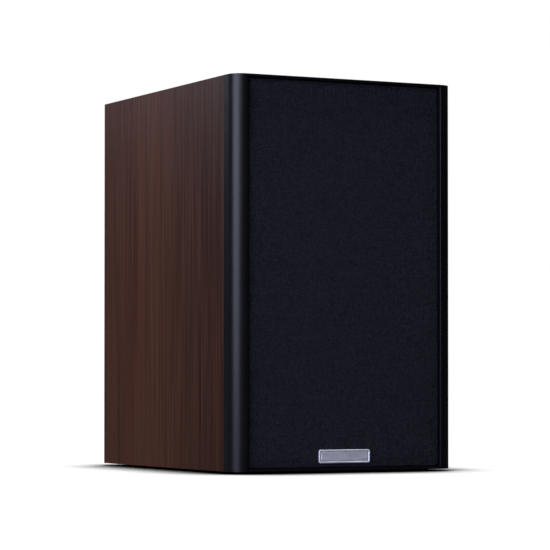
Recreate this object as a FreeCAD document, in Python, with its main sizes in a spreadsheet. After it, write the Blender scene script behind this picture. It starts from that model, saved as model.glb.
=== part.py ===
import FreeCAD, Part
import math
import os
import re

import Sketcher

# Two-way bookshelf loudspeaker with a bass-reflex cabinet.
#
# Frame: +Z up, +X to the right of someone facing the front, -Y to the front. The origin is at
# the middle of the footprint, on the surface that the rubber feet stand on. Sizes in millimetres.
#
# Each piece is drawn with y measured as a depth behind the plane of the front bars, so its body
# stands at y = front. Cabinet pieces stand at z = foot_height, and a driver, the port and the
# terminals stand at the height of their own axis.

DRIVING_SIZES = [
    # cabinet, foil-wrapped fibreboard folded at mitred corners
    ("cabinet_width", 194), ("cabinet_height", 305), ("cabinet_depth", 254), ("wall", 15),
    ("foot_height", 2), ("foot_radius", 7), ("foot_inset", 20),
    # front baffle: two rounded bars, a thin lip above and below, and the grille's pocket between
    ("baffle_proud", 18), ("tongue_depth", 8), ("glue_gap", 0.2), ("bar_width", 12),
    ("bar_radius", 11.5), ("bar_inner_radius", 0.4), ("pocket_depth", 10), ("pocket_lip", 2),
    # window brace halfway along the cabinet
    ("brace_depth", 104), ("brace_thickness", 12), ("brace_side", 30), ("brace_end", 20),
    ("brace_bar", 20), ("brace_corner", 12),
    # grille: moulded frame, stretched cloth, pegs in rubber sockets, metal badge
    ("cloth_depth", 3), ("cloth_thickness", 0.6), ("grille_gap", 0.4), ("grille_back_gap", 0.8),
    ("grille_side_rail", 12), ("grille_top_rail", 14), ("grille_bottom_rail", 22),
    ("grille_cross_rail", 10), ("grille_corner", 3), ("peg_radius", 3), ("socket_floor", 1.5),
    ("peg_inset", 8.5), ("peg_gap", 0.1), ("peg_chamfer", 1), ("socket_wall", 2),
    ("socket_back", 0.5),
    ("badge_width", 45), ("badge_height", 10.5), ("badge_thickness", 0.9), ("badge_corner", 1.6),
    ("badge_middle", 10.9), ("badge_border", 1.4), ("badge_recess", 0.25),
    ("badge_pin_radius", 0.8), ("badge_pin_spacing", 30),
    # woofer
    ("woofer_height", 101), ("woofer_radius", 75), ("woofer_flange", 4), ("woofer_gasket", 1),
    ("flange_overlap", 13), ("basket_gap", 1), ("woofer_rebate_gap", 0.3), ("screw_edge", 5),
    ("landing_rim", 9.7), ("landing_depth", 2.5), ("basket_wall", 2.5),
    ("basket_neck", 14), ("spider_shelf", 40), ("basket_waist", 44.5),
    ("shelf_inner", 38), ("motor_floor", 53), ("basket_floor", 3), ("floor_hole", 24),
    ("window_angle", 15), ("window_count", 8), ("window_reach", 4), ("top_plate_radius", 40),
    ("top_plate_thickness", 5), ("gap_outer", 14.3), ("magnet_radius", 45), ("magnet_hole", 20),
    ("magnet_thickness", 16), ("yoke_plate", 5), ("pole_radius", 12.3), ("pole_vent", 4),
    ("former_inner", 12.7), ("former_outer", 12.95), ("former_start", 28.5), ("former_end", 63),
    ("coil_outer", 13.8), ("coil_length", 13), ("glue_line", 0.02), ("roll_inset", 5),
    ("cone_thickness", 0.9), ("cone_neck", 32), ("cone_rim", 3.5), ("roll_radius", 4),
    ("surround_thickness", 0.8), ("dust_cap_radius", 19.5), ("dust_cap_rise", 6),
    ("dust_cap_thickness", 0.7), ("spider_outer", 41.6), ("spider_thickness", 0.6),
    ("spider_fold", 1.2), ("strip_width", 34), ("strip_thickness", 1.6), ("strip_start", 24),
    ("strip_length", 12), ("lug_spacing", 24),
    # tweeter
    ("tweeter_drop", 65), ("tweeter_radius", 47), ("tweeter_flange", 4),
    ("tweeter_gasket", 0.5), ("tweeter_overlap", 9), ("tweeter_screw_edge", 4.5),
    ("dome_radius", 12.5), ("dome_rise", 4), ("dome_thickness", 0.4), ("throat_radius", 17),
    ("throat_depth", 2.6), ("throat_land", 1), ("dish_rim", 11), ("tweeter_roll_middle", 14.2),
    ("tweeter_roll_radius", 1.1), ("tweeter_surround_thickness", 0.3), ("surround_seat", 2),
    ("tweeter_plate_gap", 2), ("tweeter_plate", 3), ("tweeter_gap_outer", 13.5),
    ("tweeter_magnet_radius", 30), ("tweeter_magnet_hole", 18), ("tweeter_magnet", 12),
    ("tweeter_pole_radius", 12.0), ("tweeter_coil_outer", 13.0), ("tweeter_coil_length", 4.5),
    ("tag_block_width", 18), ("tag_block_depth", 5), ("tag_block_length", 6),
    ("tag_block_gap", 0.8), ("blade_thickness", 0.8), ("blade_width", 4),
    # screws for the drivers and the terminal cup
    ("screw_head", 3.5), ("screw_head_depth", 1.8), ("screw_shank", 1.9), ("screw_length", 15),
    ("screw_gap", 0.15), ("screw_socket", 1.5), ("socket_depth", 1.3),
    # port
    ("port_drop", 70), ("port_bore", 20), ("port_wall", 3.5), ("port_length", 110),
    ("port_flange_radius", 32), ("rear_flange", 3), ("port_flare", 8), ("port_chamfer", 1),
    ("port_gap", 0.2),
    # terminal cup and binding posts
    ("terminal_height", 80), ("cup_width", 96), ("cup_height", 76), ("cup_body_width", 81),
    ("cup_body_height", 57), ("cup_wall", 2.5), ("cup_well", 17), ("cup_corner", 6),
    ("cup_gap", 0.5), ("cup_screw_x", 43), ("cup_screw_z", 33), ("post_spacing", 19.05),
    ("stud_radius", 3), ("stud_bore", 2), ("stud_bore_length", 18), ("stud_tail", 11),
    ("thread_gap", 0.1), ("collar_radius", 6.5), ("collar_height", 3), ("washer_thickness", 1),
    ("washer_radius", 6.2), ("cap_radius", 6.5), ("cap_length", 12), ("cap_chamfer", 1),
    ("cap_flutes", 14), ("flute_radius", 0.8), ("flute_offset", 0.35), ("flute_start", 1.5),
    ("shoulder_step", 1.4), ("shoulder_height", 1.2), ("nut_flat", 5), ("nut_height", 4),
    ("tag_radius", 5.4), ("tag_thickness", 0.8), ("tag_length", 14), ("tag_width", 4),
    ("wire_hole", 1.1),
    # crossover
    ("board_width", 110), ("board_length", 84), ("board_thickness", 1.6), ("board_depth", 130),
    ("standoff_height", 8), ("standoff_radius", 4), ("board_screw", 1.5), ("board_inset", 5),
    ("board_screw_bite", 6), ("coil_core_radius", 8), ("coil_core_height", 30),
    ("low_coil_radius", 20), ("low_coil_height", 22), ("high_coil_radius", 16),
    ("high_coil_height", 14), ("high_coil_hole", 8), ("capacitor_radius", 7.5),
    ("capacitor_length", 30), ("capacitor_inset", 9),
    ("resistor_length", 22), ("resistor_width", 9.5),
    # acoustic foam on the side walls, and the wiring
    ("foam_thickness", 20), ("foam_bottom", 62), ("foam_gap", 0.3), ("foam_margin", 4),
    ("lead_radius", 1.1), ("tinsel_radius", 0.6),
]

# Names worked out from the driving sizes, each by one formula.
DERIVED = {
    "front": "-(cabinet_depth + rear_flange) / 2",
    "half_width": "cabinet_width / 2",
    "inner_half": "half_width - wall",
    "pocket_half": "half_width - bar_width",
    "panel_depth": "cabinet_depth - baffle_proud",
    "cloth_back": "cloth_depth + cloth_thickness",
    "frame_half": "pocket_half - grille_gap - cloth_thickness",
    "frame_bottom": "pocket_lip + grille_gap + cloth_thickness",
    "frame_top": "cabinet_height - frame_bottom",
    "frame_thickness": "pocket_depth - grille_back_gap - cloth_back",
    "socket_length": "baffle_proud - pocket_depth - socket_back",
    "peg_length": "socket_length - socket_floor",
    "peg_x": "frame_half - peg_inset",
    "peg_low": "frame_bottom + peg_inset",
    "peg_high": "frame_top - peg_inset",
    "woofer_axis": "foot_height + woofer_height",
    "tweeter_axis": "foot_height + tweeter_height",
    "port_axis": "foot_height + port_height",
    "terminal_axis": "foot_height + terminal_height",
    "tweeter_height": "cabinet_height - tweeter_drop",
    "port_height": "cabinet_height - port_drop",
    "woofer_cutout": "woofer_radius - flange_overlap",
    "woofer_screw_circle": "woofer_radius - screw_edge",
    "landing_radius": "woofer_radius - landing_rim",
    "basket_throat": "woofer_cutout - basket_gap",
    "roll_middle": "basket_throat - roll_inset",
    "cone_edge": "roll_middle - roll_radius",
    "basket_neck_depth": "pocket_depth + basket_neck",
    "spider_shelf_depth": "pocket_depth + spider_shelf",
    "basket_floor_depth": "pocket_depth + motor_floor",
    "former_front": "pocket_depth + former_start",
    "former_back": "pocket_depth + former_end",
    "cone_neck_depth": "pocket_depth + cone_neck",
    "strip_depth": "pocket_depth + strip_start",
    "tweeter_cutout": "tweeter_radius - tweeter_overlap",
    "tweeter_screw_circle": "tweeter_radius - tweeter_screw_edge",
    "dish_radius": "tweeter_radius - dish_rim",
    "tweeter_plate_radius": "tweeter_cutout - tweeter_plate_gap",
    "stud_shoulder": "stud_radius + shoulder_step",
    "woofer_seat": "pocket_depth + woofer_flange + woofer_gasket",
    "landing": "pocket_depth + landing_depth",
    "plate_front": "basket_floor_depth",
    "plate_back": "basket_floor_depth + top_plate_thickness",
    "magnet_back": "plate_back + magnet_thickness",
    "cone_slope": "(cone_neck_depth - landing) / (cone_edge - cone_rim - former_outer - glue_line)",
    "strip_z": "basket_throat - (strip_depth - basket_neck_depth) * (basket_throat - basket_waist)"
               " / (spider_shelf_depth - basket_neck_depth) + screw_gap",
    "tweeter_back": "pocket_depth + tweeter_flange",
    "tweeter_plate_front": "tweeter_back + tweeter_gasket",
    "tweeter_plate_back": "tweeter_plate_front + tweeter_plate",
    "tweeter_magnet_back": "tweeter_plate_back + tweeter_magnet",
    "rear_inside": "cabinet_depth - wall",
    "rear_face": "cabinet_depth + rear_flange",
    "well_floor": "rear_face - cup_well",
    "well_back": "well_floor - cup_wall",
    "collar_top": "well_floor + collar_height",
    "washer_top": "collar_top + washer_thickness",
    "cap_top": "washer_top + cap_length",
    "post_x": "post_spacing / 2",
    "board_bottom": "wall + standoff_height",
    "board_top": "board_bottom + board_thickness",
    "board_back": "board_depth + board_length",
    "board_hole_x": "board_width / 2 - board_inset",
    "brace_back": "brace_depth + brace_thickness",
}

doc = FreeCAD.newDocument("bookshelf_speaker")
sheet = doc.addObject("Spreadsheet::Sheet", "dims")
for row, (alias, size) in enumerate(DRIVING_SIZES, start=1):
    sheet.set(f"A{row}", alias.replace("_", " "))
    sheet.set(f"B{row}", str(size))
    sheet.setAlias(f"B{row}", alias)
doc.recompute()

ALIASES = {alias for alias, size in DRIVING_SIZES}
sub_parts = []


def bound(formula):
    """The formula with every size's name replaced by its cell."""
    def cell(found):
        word = found.group(0)
        if word in DERIVED:
            return f"({bound(DERIVED[word])})"
        return f"dims.{word}" if word in ALIASES else word
    return re.sub(r"[a-z][a-z_]*", cell, str(formula))


def value(formula):
    return float(sheet.evalExpression(bound(formula)))


def bind(item, prop, formula):
    item.setExpression(prop, bound(formula))


def place(item, x="0", y="front", z="foot_height"):
    for axis, formula in (("x", x), ("y", y), ("z", z)):
        bind(item, f"Placement.Base.{axis}", formula)


def sub_part(item, label):
    item.Label = label
    sub_parts.append(item)
    return item


def new_body(name, z="foot_height", x="0", y="front"):
    body = doc.addObject("PartDesign::Body", name)
    body.AllowCompound = True
    place(body, x, y, z)
    return body


def new_sketch(body, plane, offset):
    """A sketch on one of the body's own origin planes, moved along its normal."""
    sketch = body.newObject("Sketcher::SketchObject", f"{body.Name}_sketch")
    support = next(item for item in body.Origin.OriginFeatures if item.Role == plane)
    sketch.AttachmentSupport = (support, [""])
    sketch.MapMode = "FlatFace"
    bind(sketch, "AttachmentOffset.Base.z", offset)
    return sketch


def fix(sketch, kind, numbers, formula):
    index = sketch.addConstraint(Sketcher.Constraint(kind, *numbers, value(formula)))
    if bound(formula) != str(formula):
        bind(sketch, f"Constraints[{index}]", formula)


def arc_between(start, end, centre, turn):
    """The arc from start to end about centre, anticlockwise for turn = 1, clockwise for -1."""
    first = math.atan2(start.y - centre.y, start.x - centre.x)
    last = math.atan2(end.y - centre.y, end.x - centre.x)
    sweep = (turn * (last - first)) % (2 * math.pi)
    middle = first + turn * sweep / 2
    radius = (start - centre).Length
    crest = centre + FreeCAD.Vector(radius * math.cos(middle), radius * math.sin(middle), 0)
    return Part.Arc(start, crest, end) if turn > 0 else Part.Arc(end, crest, start)


def outline(sketch, points):
    """A closed outline. Each point is (u, v), or (u, v, centre_u, centre_v, turn) where an arc
    leads to the next point. Every corner is fixed by its own formulas."""
    spots = [FreeCAD.Vector(value(point[0]), value(point[1]), 0) for point in points]
    first = sketch.GeometryCount
    ends = []
    for number, point in enumerate(points):
        start, end = spots[number], spots[(number + 1) % len(spots)]
        if len(point) == 2:
            sketch.addGeometry(Part.LineSegment(start, end), False)
            ends.append((1, 2))
        else:
            centre = FreeCAD.Vector(value(point[2]), value(point[3]), 0)
            sketch.addGeometry(arc_between(start, end, centre, point[4]), False)
            ends.append((1, 2) if point[4] > 0 else (2, 1))
    for number, point in enumerate(points):
        after = (number + 1) % len(points)
        edge = first + number
        joint = (edge, ends[number][1], first + after, ends[after][0])
        sketch.addConstraint(Sketcher.Constraint("Coincident", *joint))
        fix(sketch, "DistanceX", (-1, 1, edge, ends[number][0]), point[0])
        fix(sketch, "DistanceY", (-1, 1, edge, ends[number][0]), point[1])
        if len(point) > 2:
            chord = spots[after] - spots[number]
            if abs(chord.x) >= abs(chord.y):
                fix(sketch, "DistanceY", (-1, 1, edge, 3), point[3])
            else:
                fix(sketch, "DistanceX", (-1, 1, edge, 3), point[2])


def circles(sketch, places):
    """Circles, each (u, v, radius)."""
    for u, v, radius in places:
        centre = FreeCAD.Vector(value(u), value(v), 0)
        edge = sketch.addGeometry(Part.Circle(centre, FreeCAD.Vector(0, 0, 1), value(radius)), False)
        fix(sketch, "DistanceX", (-1, 1, edge, 3), u)
        fix(sketch, "DistanceY", (-1, 1, edge, 3), v)
        fix(sketch, "Radius", (edge,), radius)


def draw(sketch, shape):
    """shape is a list of corners, or of circles when its first entry is a circle's triple."""
    if len(shape[0]) == 3:
        circles(sketch, shape)
    else:
        outline(sketch, shape)


def rectangle(left, right, low, high):
    return [(left, low), (right, low), (right, high), (left, high)]


def rounded(left, right, low, high, radius):
    """A rectangle with round corners."""
    near, far = f"{left} + ({radius})", f"{right} - ({radius})"
    under, over = f"{low} + ({radius})", f"{high} - ({radius})"
    return [(near, low), (far, low, far, under, 1), (right, under), (right, over, far, over, 1),
            (far, high), (near, high, near, over, 1), (left, over), (left, under, near, under, 1)]


def ring_of(radius, size, count, first_angle):
    """Circles evenly spaced on a circle about the origin."""
    step = 360 / count
    return [(f"{radius} * cos({first_angle + step * number})",
             f"{radius} * sin({first_angle + step * number})", size) for number in range(count)]


def slab(body, shape, start, thickness):
    """Material from depth start, backwards for thickness, with its outline seen from the front."""
    sketch = new_sketch(body, "XZ_Plane", f"-({start})")
    draw(sketch, shape)
    feature = body.newObject("PartDesign::Pad", f"{body.Name}_pad")
    feature.Profile = sketch
    feature.Reversed = True
    bind(feature, "Length", thickness)
    sketch.Visibility = False
    return feature


def cut(body, shape, start, thickness, plane="XZ_Plane"):
    """Removes material backwards from depth start, or downwards from a height on XY_Plane."""
    doc.recompute()
    before = body.Shape.Volume
    offset = f"-({start})" if plane == "XZ_Plane" else start
    sketch = new_sketch(body, plane, offset)
    draw(sketch, shape)
    feature = body.newObject("PartDesign::Pocket", f"{body.Name}_pocket")
    feature.Profile = sketch
    bind(feature, "Length", thickness)
    doc.recompute()
    if before - body.Shape.Volume < 0.01:
        raise ValueError(f"{body.Name}: a pocket removed nothing")
    return feature


def turn(body, shape):
    """A solid of revolution about the body's Y axis. Its outline is (radius, depth)."""
    sketch = new_sketch(body, "XY_Plane", "0")
    draw(sketch, shape)
    feature = body.newObject("PartDesign::Revolution", f"{body.Name}_turned")
    feature.Profile = sketch
    feature.ReferenceAxis = (sketch, ["V_Axis"])
    feature.Angle = 360
    return feature


def repeat_round(body, feature, count):
    """Repeats a feature about the body's Y axis."""
    pattern = body.newObject("PartDesign::PolarPattern", f"{body.Name}_pattern")
    pattern.Originals = [feature]
    axis = next(item for item in body.Origin.OriginFeatures if item.Role == "Y_Axis")
    pattern.Axis = (axis, [""])
    pattern.Angle = 360
    bind(pattern, "Occurrences", count)
    body.Tip = pattern
    return pattern


def round_edges(body, radius, wanted):
    """Fillets the edges whose middle point passes the wanted test."""
    doc.recompute()
    base = body.Tip
    names = []
    for number, edge in enumerate(base.Shape.Edges, start=1):
        middle = edge.valueAt((edge.FirstParameter + edge.LastParameter) / 2)
        if wanted(middle, edge):
            names.append(f"Edge{number}")
    fillet = body.newObject("PartDesign::Fillet", f"{body.Name}_fillet")
    fillet.Base = (base, names)
    bind(fillet, "Radius", radius)
    return fillet


def turned_part(label, shape, z, x="0"):
    body = new_body(label, z, x)
    turn(body, shape)
    return sub_part(body, label)


def copies(label, source, places):
    """One node of separate solids: the source piece standing at each (x, y, z)."""
    links = []
    for x, y, z in places:
        link = doc.addObject("App::Link", f"{label}_copy")
        link.LinkedObject = source
        place(link, x, y, z)
        links.append(link)
    group = doc.addObject("Part::Compound", label)
    group.Links = links
    return sub_part(group, label)


def near(number, target):
    return abs(number - target) < 0.01


# ---------------------------------------------------------------- cabinet
# Four mitred panels, each a slab whose outline is its trapezium seen from the front.

MITRED_PANELS = {
    "left_side_panel": [("-half_width", "0"), ("-inner_half", "wall"),
                        ("-inner_half", "cabinet_height - wall"), ("-half_width", "cabinet_height")],
    "right_side_panel": [("half_width", "0"), ("half_width", "cabinet_height"),
                         ("inner_half", "cabinet_height - wall"), ("inner_half", "wall")],
    "top_panel": [("-half_width", "cabinet_height"), ("-inner_half", "cabinet_height - wall"),
                  ("inner_half", "cabinet_height - wall"), ("half_width", "cabinet_height")],
    "bottom_panel": [("-half_width", "0"), ("half_width", "0"), ("inner_half", "wall"),
                     ("-inner_half", "wall")],
}
BOARD_HOLES = [(x, y) for x in ("-board_hole_x", "board_hole_x")
               for y in ("board_depth + board_inset", "board_back - board_inset")]
for label, shape in MITRED_PANELS.items():
    panel = new_body(label)
    slab(panel, shape, "baffle_proud", "panel_depth")
    if label == "bottom_panel":
        pilots = [(x, y, "board_screw + screw_gap") for x, y in BOARD_HOLES]
        cut(panel, pilots, "wall", "board_screw_bite + glue_gap", "XY_Plane")
    sub_part(panel, label)

rear_panel = new_body("rear_panel")
slab(rear_panel, rectangle("-inner_half", "inner_half", "wall", "cabinet_height - wall"),
     "rear_inside", "wall")
cut(rear_panel, [("0", "port_height", "port_bore + port_wall + port_gap")], "rear_inside", "wall")
cup_hole_x = "cup_body_width / 2 + cup_gap"
cup_hole_z = "cup_body_height / 2 + cup_gap"
cut(rear_panel, rounded(f"-({cup_hole_x})", cup_hole_x, f"terminal_height - ({cup_hole_z})",
                        f"terminal_height + {cup_hole_z}", "cup_corner"), "rear_inside", "wall")
CUP_SCREWS = [(x, z) for x in ("-cup_screw_x", "cup_screw_x") for z in ("-cup_screw_z", "cup_screw_z")]
cut(rear_panel, [(x, f"terminal_height + {z}", "screw_shank + screw_gap") for x, z in CUP_SCREWS],
    "rear_inside", "wall")
sub_part(rear_panel, "rear_panel")

# The baffle is one machined board: two bars with round outer edges, the grille's pocket between
# them, a rebate and a hole for each driver, and a tongue that is glued between the walls.
baffle = new_body("front_baffle")
slab(baffle, rectangle("-half_width", "half_width", "0", "cabinet_height"), "0", "baffle_proud")
slab(baffle, rectangle("-inner_half + glue_gap", "inner_half - glue_gap", "wall + glue_gap",
                       "cabinet_height - wall - glue_gap"), "baffle_proud", "tongue_depth")
round_edges(baffle, "bar_radius",
            lambda middle, edge: near(middle.y, 0) and near(abs(middle.x), value("half_width")))
cut(baffle, rectangle("-pocket_half", "pocket_half", "pocket_lip", "cabinet_height - pocket_lip"),
    "0", "pocket_depth")
round_edges(baffle, "bar_inner_radius",
            lambda middle, edge: near(middle.y, 0) and near(abs(middle.x), value("pocket_half")))
cut(baffle, [("0", "woofer_height", "woofer_radius + woofer_rebate_gap")], "pocket_depth",
    "woofer_flange + woofer_gasket")
cut(baffle, [("0", "woofer_height", "woofer_cutout")], "woofer_seat",
    "baffle_proud + tongue_depth - woofer_seat")
cut(baffle, [("0", "tweeter_height", "tweeter_radius + woofer_rebate_gap")], "pocket_depth",
    "tweeter_flange + tweeter_gasket")
cut(baffle, [("0", "tweeter_height", "tweeter_cutout")], "tweeter_plate_front",
    "baffle_proud + tongue_depth - tweeter_plate_front")
PEG_PLACES = [(x, z) for x in ("-peg_x", "peg_x") for z in ("peg_low", "peg_high")]
cut(baffle, [(x, z, "peg_radius + peg_gap + socket_wall + peg_gap") for x, z in PEG_PLACES],
    "pocket_depth", "socket_length + peg_gap")
for circle, height, seat in (("woofer_screw_circle", "woofer_height", "woofer_seat"),
                             ("tweeter_screw_circle", "tweeter_height", "tweeter_plate_front")):
    pilots = [(u, f"{height} + {v}", "screw_shank + screw_gap")
              for u, v, size in ring_of(circle, "1", 4, 45)]
    cut(baffle, pilots, seat, f"baffle_proud + tongue_depth - {seat}")
sub_part(baffle, "front_baffle")

# Board with two windows, glued across the middle of the cabinet.
brace = new_body("window_brace")
slab(brace, rectangle("-inner_half", "inner_half", "wall", "cabinet_height - wall"),
     "brace_depth", "brace_thickness")
window_x = "inner_half - brace_side"
window_split = "cabinet_height / 2"
for low, high in (("wall + brace_end", f"{window_split} - brace_bar / 2"),
                  (f"{window_split} + brace_bar / 2", "cabinet_height - wall - brace_end")):
    cut(brace, rounded(f"-({window_x})", window_x, low, high, "brace_corner"),
        "brace_depth", "brace_thickness")
sub_part(brace, "window_brace")

foot = doc.addObject("Part::Cylinder", "rubber_foot")
bind(foot, "Radius", "foot_radius")
bind(foot, "Height", "foot_height")
copies("rubber_feet", foot, [(x, y, "0") for x in ("foot_inset - half_width", "half_width - foot_inset")
                             for y in ("front + foot_inset", "front + cabinet_depth - foot_inset")])

# ---------------------------------------------------------------- woofer
# Basket: flange with a landing for the surround, conical spokes, spider shelf and motor floor.
basket = new_body("woofer_basket", "woofer_axis")
turn(basket, [
    ("woofer_radius", "pocket_depth"), ("woofer_radius", "pocket_depth + woofer_flange"),
    ("basket_throat", "pocket_depth + woofer_flange"), ("basket_throat", "basket_neck_depth"),
    ("basket_waist", "spider_shelf_depth"), ("basket_waist", "basket_floor_depth"),
    ("floor_hole", "basket_floor_depth"), ("floor_hole", "basket_floor_depth - basket_floor"),
    ("shelf_inner", "basket_floor_depth - basket_floor"), ("shelf_inner", "spider_shelf_depth"),
    ("basket_waist - basket_wall", "spider_shelf_depth"),
    ("basket_throat - basket_wall", "basket_neck_depth"),
    ("basket_throat - basket_wall", "landing"), ("landing_radius", "landing"),
    ("landing_radius", "pocket_depth")])
window_inner = "(shelf_inner - window_reach)"
window_outer = "(basket_throat + window_reach)"
window_start = "(180 / window_count - window_angle)"
window_end = "(180 / window_count + window_angle)"
window = cut(basket, [
    (f"{reach} * cos({angle})", f"{reach} * sin({angle})")
    for reach, angle in ((window_inner, window_start), (window_outer, window_start),
                         (window_outer, window_end), (window_inner, window_end))],
    "basket_neck_depth + basket_wall", "spider_shelf_depth - basket_neck_depth - 2 * basket_wall")
repeat_round(basket, window, "window_count")
cut(basket, ring_of("woofer_screw_circle", "screw_shank + screw_gap", 4, 45),
    "pocket_depth", "woofer_flange")
cut(basket, ring_of("woofer_screw_circle", "screw_head + screw_gap", 4, 45),
    "pocket_depth", "screw_head_depth")
sub_part(basket, "woofer_basket")

woofer_gasket = new_body("woofer_gasket", "woofer_axis")
turn(woofer_gasket, [
    ("woofer_cutout", "woofer_seat - woofer_gasket"), ("woofer_radius", "woofer_seat - woofer_gasket"),
    ("woofer_radius", "woofer_seat"), ("woofer_cutout", "woofer_seat")])
cut(woofer_gasket, ring_of("woofer_screw_circle", "screw_shank + screw_gap", 4, 45),
    "woofer_seat - woofer_gasket", "woofer_gasket")
sub_part(woofer_gasket, "woofer_gasket")


def hexagon(flat):
    """The corners of a hexagon whose flats lie this far from its middle."""
    corner = f"{flat} / cos(30)"
    return [(f"{corner} * cos({60 * number})", f"{corner} * sin({60 * number})")
            for number in range(6)]


def socket_screw(name, head_front):
    """A cheese-head wood screw along Y with a hexagon socket, its head's face at head_front."""
    body = new_body(name, "0", "0", "0")
    turn(body, [("0", head_front), ("screw_head", head_front),
                ("screw_head", f"{head_front} + screw_head_depth"),
                ("screw_shank", f"{head_front} + screw_head_depth"),
                ("screw_shank", f"{head_front} + screw_length - screw_shank"),
                ("0", f"{head_front} + screw_length")])
    cut(body, hexagon("screw_socket"), head_front, "socket_depth")
    return body


def on_circle(circle, axis):
    return [(u, "front", f"{axis} + {v}") for u, v, size in ring_of(circle, "1", 4, 45)]


driver_screw = socket_screw("driver_screw", "pocket_depth")
copies("woofer_screws", driver_screw, on_circle("woofer_screw_circle", "woofer_axis"))


def surround_outline(inner, middle, radius, outer, seat, thickness):
    """A half-roll surround between two flat rings that lie on depth seat."""
    crest, hollow = f"({radius} + {thickness} / 2)", f"({radius} - {thickness} / 2)"
    reach = f"sqrt({crest}^2 - {thickness}^2)"
    return [(inner, f"{seat} - {thickness}"),
            (f"{middle} - {reach}", f"{seat} - {thickness}", middle, seat, 1),
            (f"{middle} + {reach}", f"{seat} - {thickness}"),
            (outer, f"{seat} - {thickness}"), (outer, seat),
            (f"{middle} + {hollow}", seat, middle, seat, -1),
            (f"{middle} - {hollow}", seat), (inner, seat)]


turned_part("woofer_surround", surround_outline(
    "cone_edge - cone_rim", "roll_middle", "roll_radius", "landing_radius - screw_gap", "landing",
    "surround_thickness"), "woofer_axis")

# Cone: a flat rim under the surround, then straight sides down to the coil former.
neck = "former_outer + glue_line"
turned_part("woofer_cone", [
    ("cone_edge", "landing"), ("cone_edge", "landing + cone_thickness"),
    ("cone_edge - cone_rim", "landing + cone_thickness"),
    (neck, "cone_neck_depth + cone_thickness"), (neck, "cone_neck_depth"),
    ("cone_edge - cone_rim", "landing")], "woofer_axis")

cap_seat = (f"(cone_neck_depth - (dust_cap_radius - ({neck})) * cone_slope"
            " - dust_cap_thickness - glue_line)")
cap_sphere = "((dust_cap_radius^2 + dust_cap_rise^2) / (2 * dust_cap_rise))"
cap_centre = f"({cap_seat} - dust_cap_rise + {cap_sphere})"
turned_part("woofer_dust_cap", [
    ("0", f"{cap_centre} - {cap_sphere}"),
    ("0", f"{cap_centre} - {cap_sphere} + dust_cap_thickness", "0", cap_centre, 1),
    (f"dust_cap_radius * (1 - dust_cap_thickness / {cap_sphere})",
     f"{cap_centre} - ({cap_centre} - {cap_seat}) * (1 - dust_cap_thickness / {cap_sphere})"),
    ("dust_cap_radius", cap_seat, "0", cap_centre, -1)], "woofer_axis")

turned_part("woofer_coil_former", [
    ("former_inner", "former_front"), ("former_outer", "former_front"),
    ("former_outer", "former_back"), ("former_inner", "former_back")], "woofer_axis")
coil_front = "(plate_front + plate_back - coil_length) / 2"
turned_part("woofer_voice_coil", [
    (neck, coil_front), ("coil_outer", coil_front), ("coil_outer", f"{coil_front} + coil_length"),
    (neck, f"{coil_front} + coil_length")], "woofer_axis")

# Spider: a folded cloth disc between the former and the basket's shelf.
FOLDS = 8
fold_depth = "spider_shelf_depth - spider_thickness"
fold_width = f"((shelf_inner - ({neck})) / {FOLDS})"
face = []
for number in range(1, FOLDS):
    height = "spider_fold" if number % 2 else "-spider_fold"
    face.append((f"{neck} + {number} * {fold_width}", f"{fold_depth} + {height}"))
front_face = [(neck, fold_depth)] + face + [("shelf_inner", fold_depth), ("spider_outer", fold_depth)]
back_face = [(radius, f"{depth} + spider_thickness") for radius, depth in reversed(front_face)]
turned_part("woofer_spider", front_face + back_face, "woofer_axis")

turned_part("woofer_top_plate", [
    ("gap_outer", "plate_front"), ("top_plate_radius", "plate_front"),
    ("top_plate_radius", "plate_back"), ("gap_outer", "plate_back")], "woofer_axis")
turned_part("woofer_magnet", [
    ("magnet_hole", "plate_back"), ("magnet_radius", "plate_back"),
    ("magnet_radius", "magnet_back"), ("magnet_hole", "magnet_back")], "woofer_axis")
turned_part("woofer_pole_yoke", [
    ("pole_vent", "plate_front - glue_gap"), ("pole_radius", "plate_front - glue_gap"),
    ("pole_radius", "magnet_back"), ("top_plate_radius", "magnet_back"),
    ("top_plate_radius", "magnet_back + yoke_plate"), ("pole_vent", "magnet_back + yoke_plate")],
    "woofer_axis")

# Terminal strip: a fibre board under the lowest spoke, with two brass lugs through it.
strip = new_body("woofer_strip_board", "woofer_axis")
slab(strip, rectangle("-strip_width / 2", "strip_width / 2", "-strip_z - strip_thickness", "-strip_z"),
     "strip_depth", "strip_length")
lug_half = "strip_thickness / 2"
lug_middle = "strip_depth + strip_length / 2"
for side in ("-", ""):
    lug_x = f"{side}lug_spacing / 2"
    slab(strip, rectangle(f"{lug_x} - {lug_half}", f"{lug_x} + {lug_half}",
                          "-strip_z - 4 * strip_thickness", "-strip_z + strip_thickness"),
         f"{lug_middle} - strip_thickness", "2 * strip_thickness")
sub_part(strip, "woofer_terminal_strip")

# ---------------------------------------------------------------- tweeter
faceplate = new_body("tweeter_faceplate", "tweeter_axis")
turn(faceplate, [
    ("tweeter_radius", "pocket_depth"), ("tweeter_radius", "tweeter_back"),
    ("throat_radius", "tweeter_back"), ("throat_radius", "pocket_depth + throat_depth"),
    ("throat_radius + throat_land", "pocket_depth + throat_depth"),
    ("dish_radius", "pocket_depth")])
cut(faceplate, ring_of("tweeter_screw_circle", "screw_shank + screw_gap", 4, 45),
    "pocket_depth", "tweeter_flange")
cut(faceplate, ring_of("tweeter_screw_circle", "screw_head + screw_gap", 4, 45),
    "pocket_depth", "screw_head_depth")
sub_part(faceplate, "tweeter_faceplate")

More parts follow.
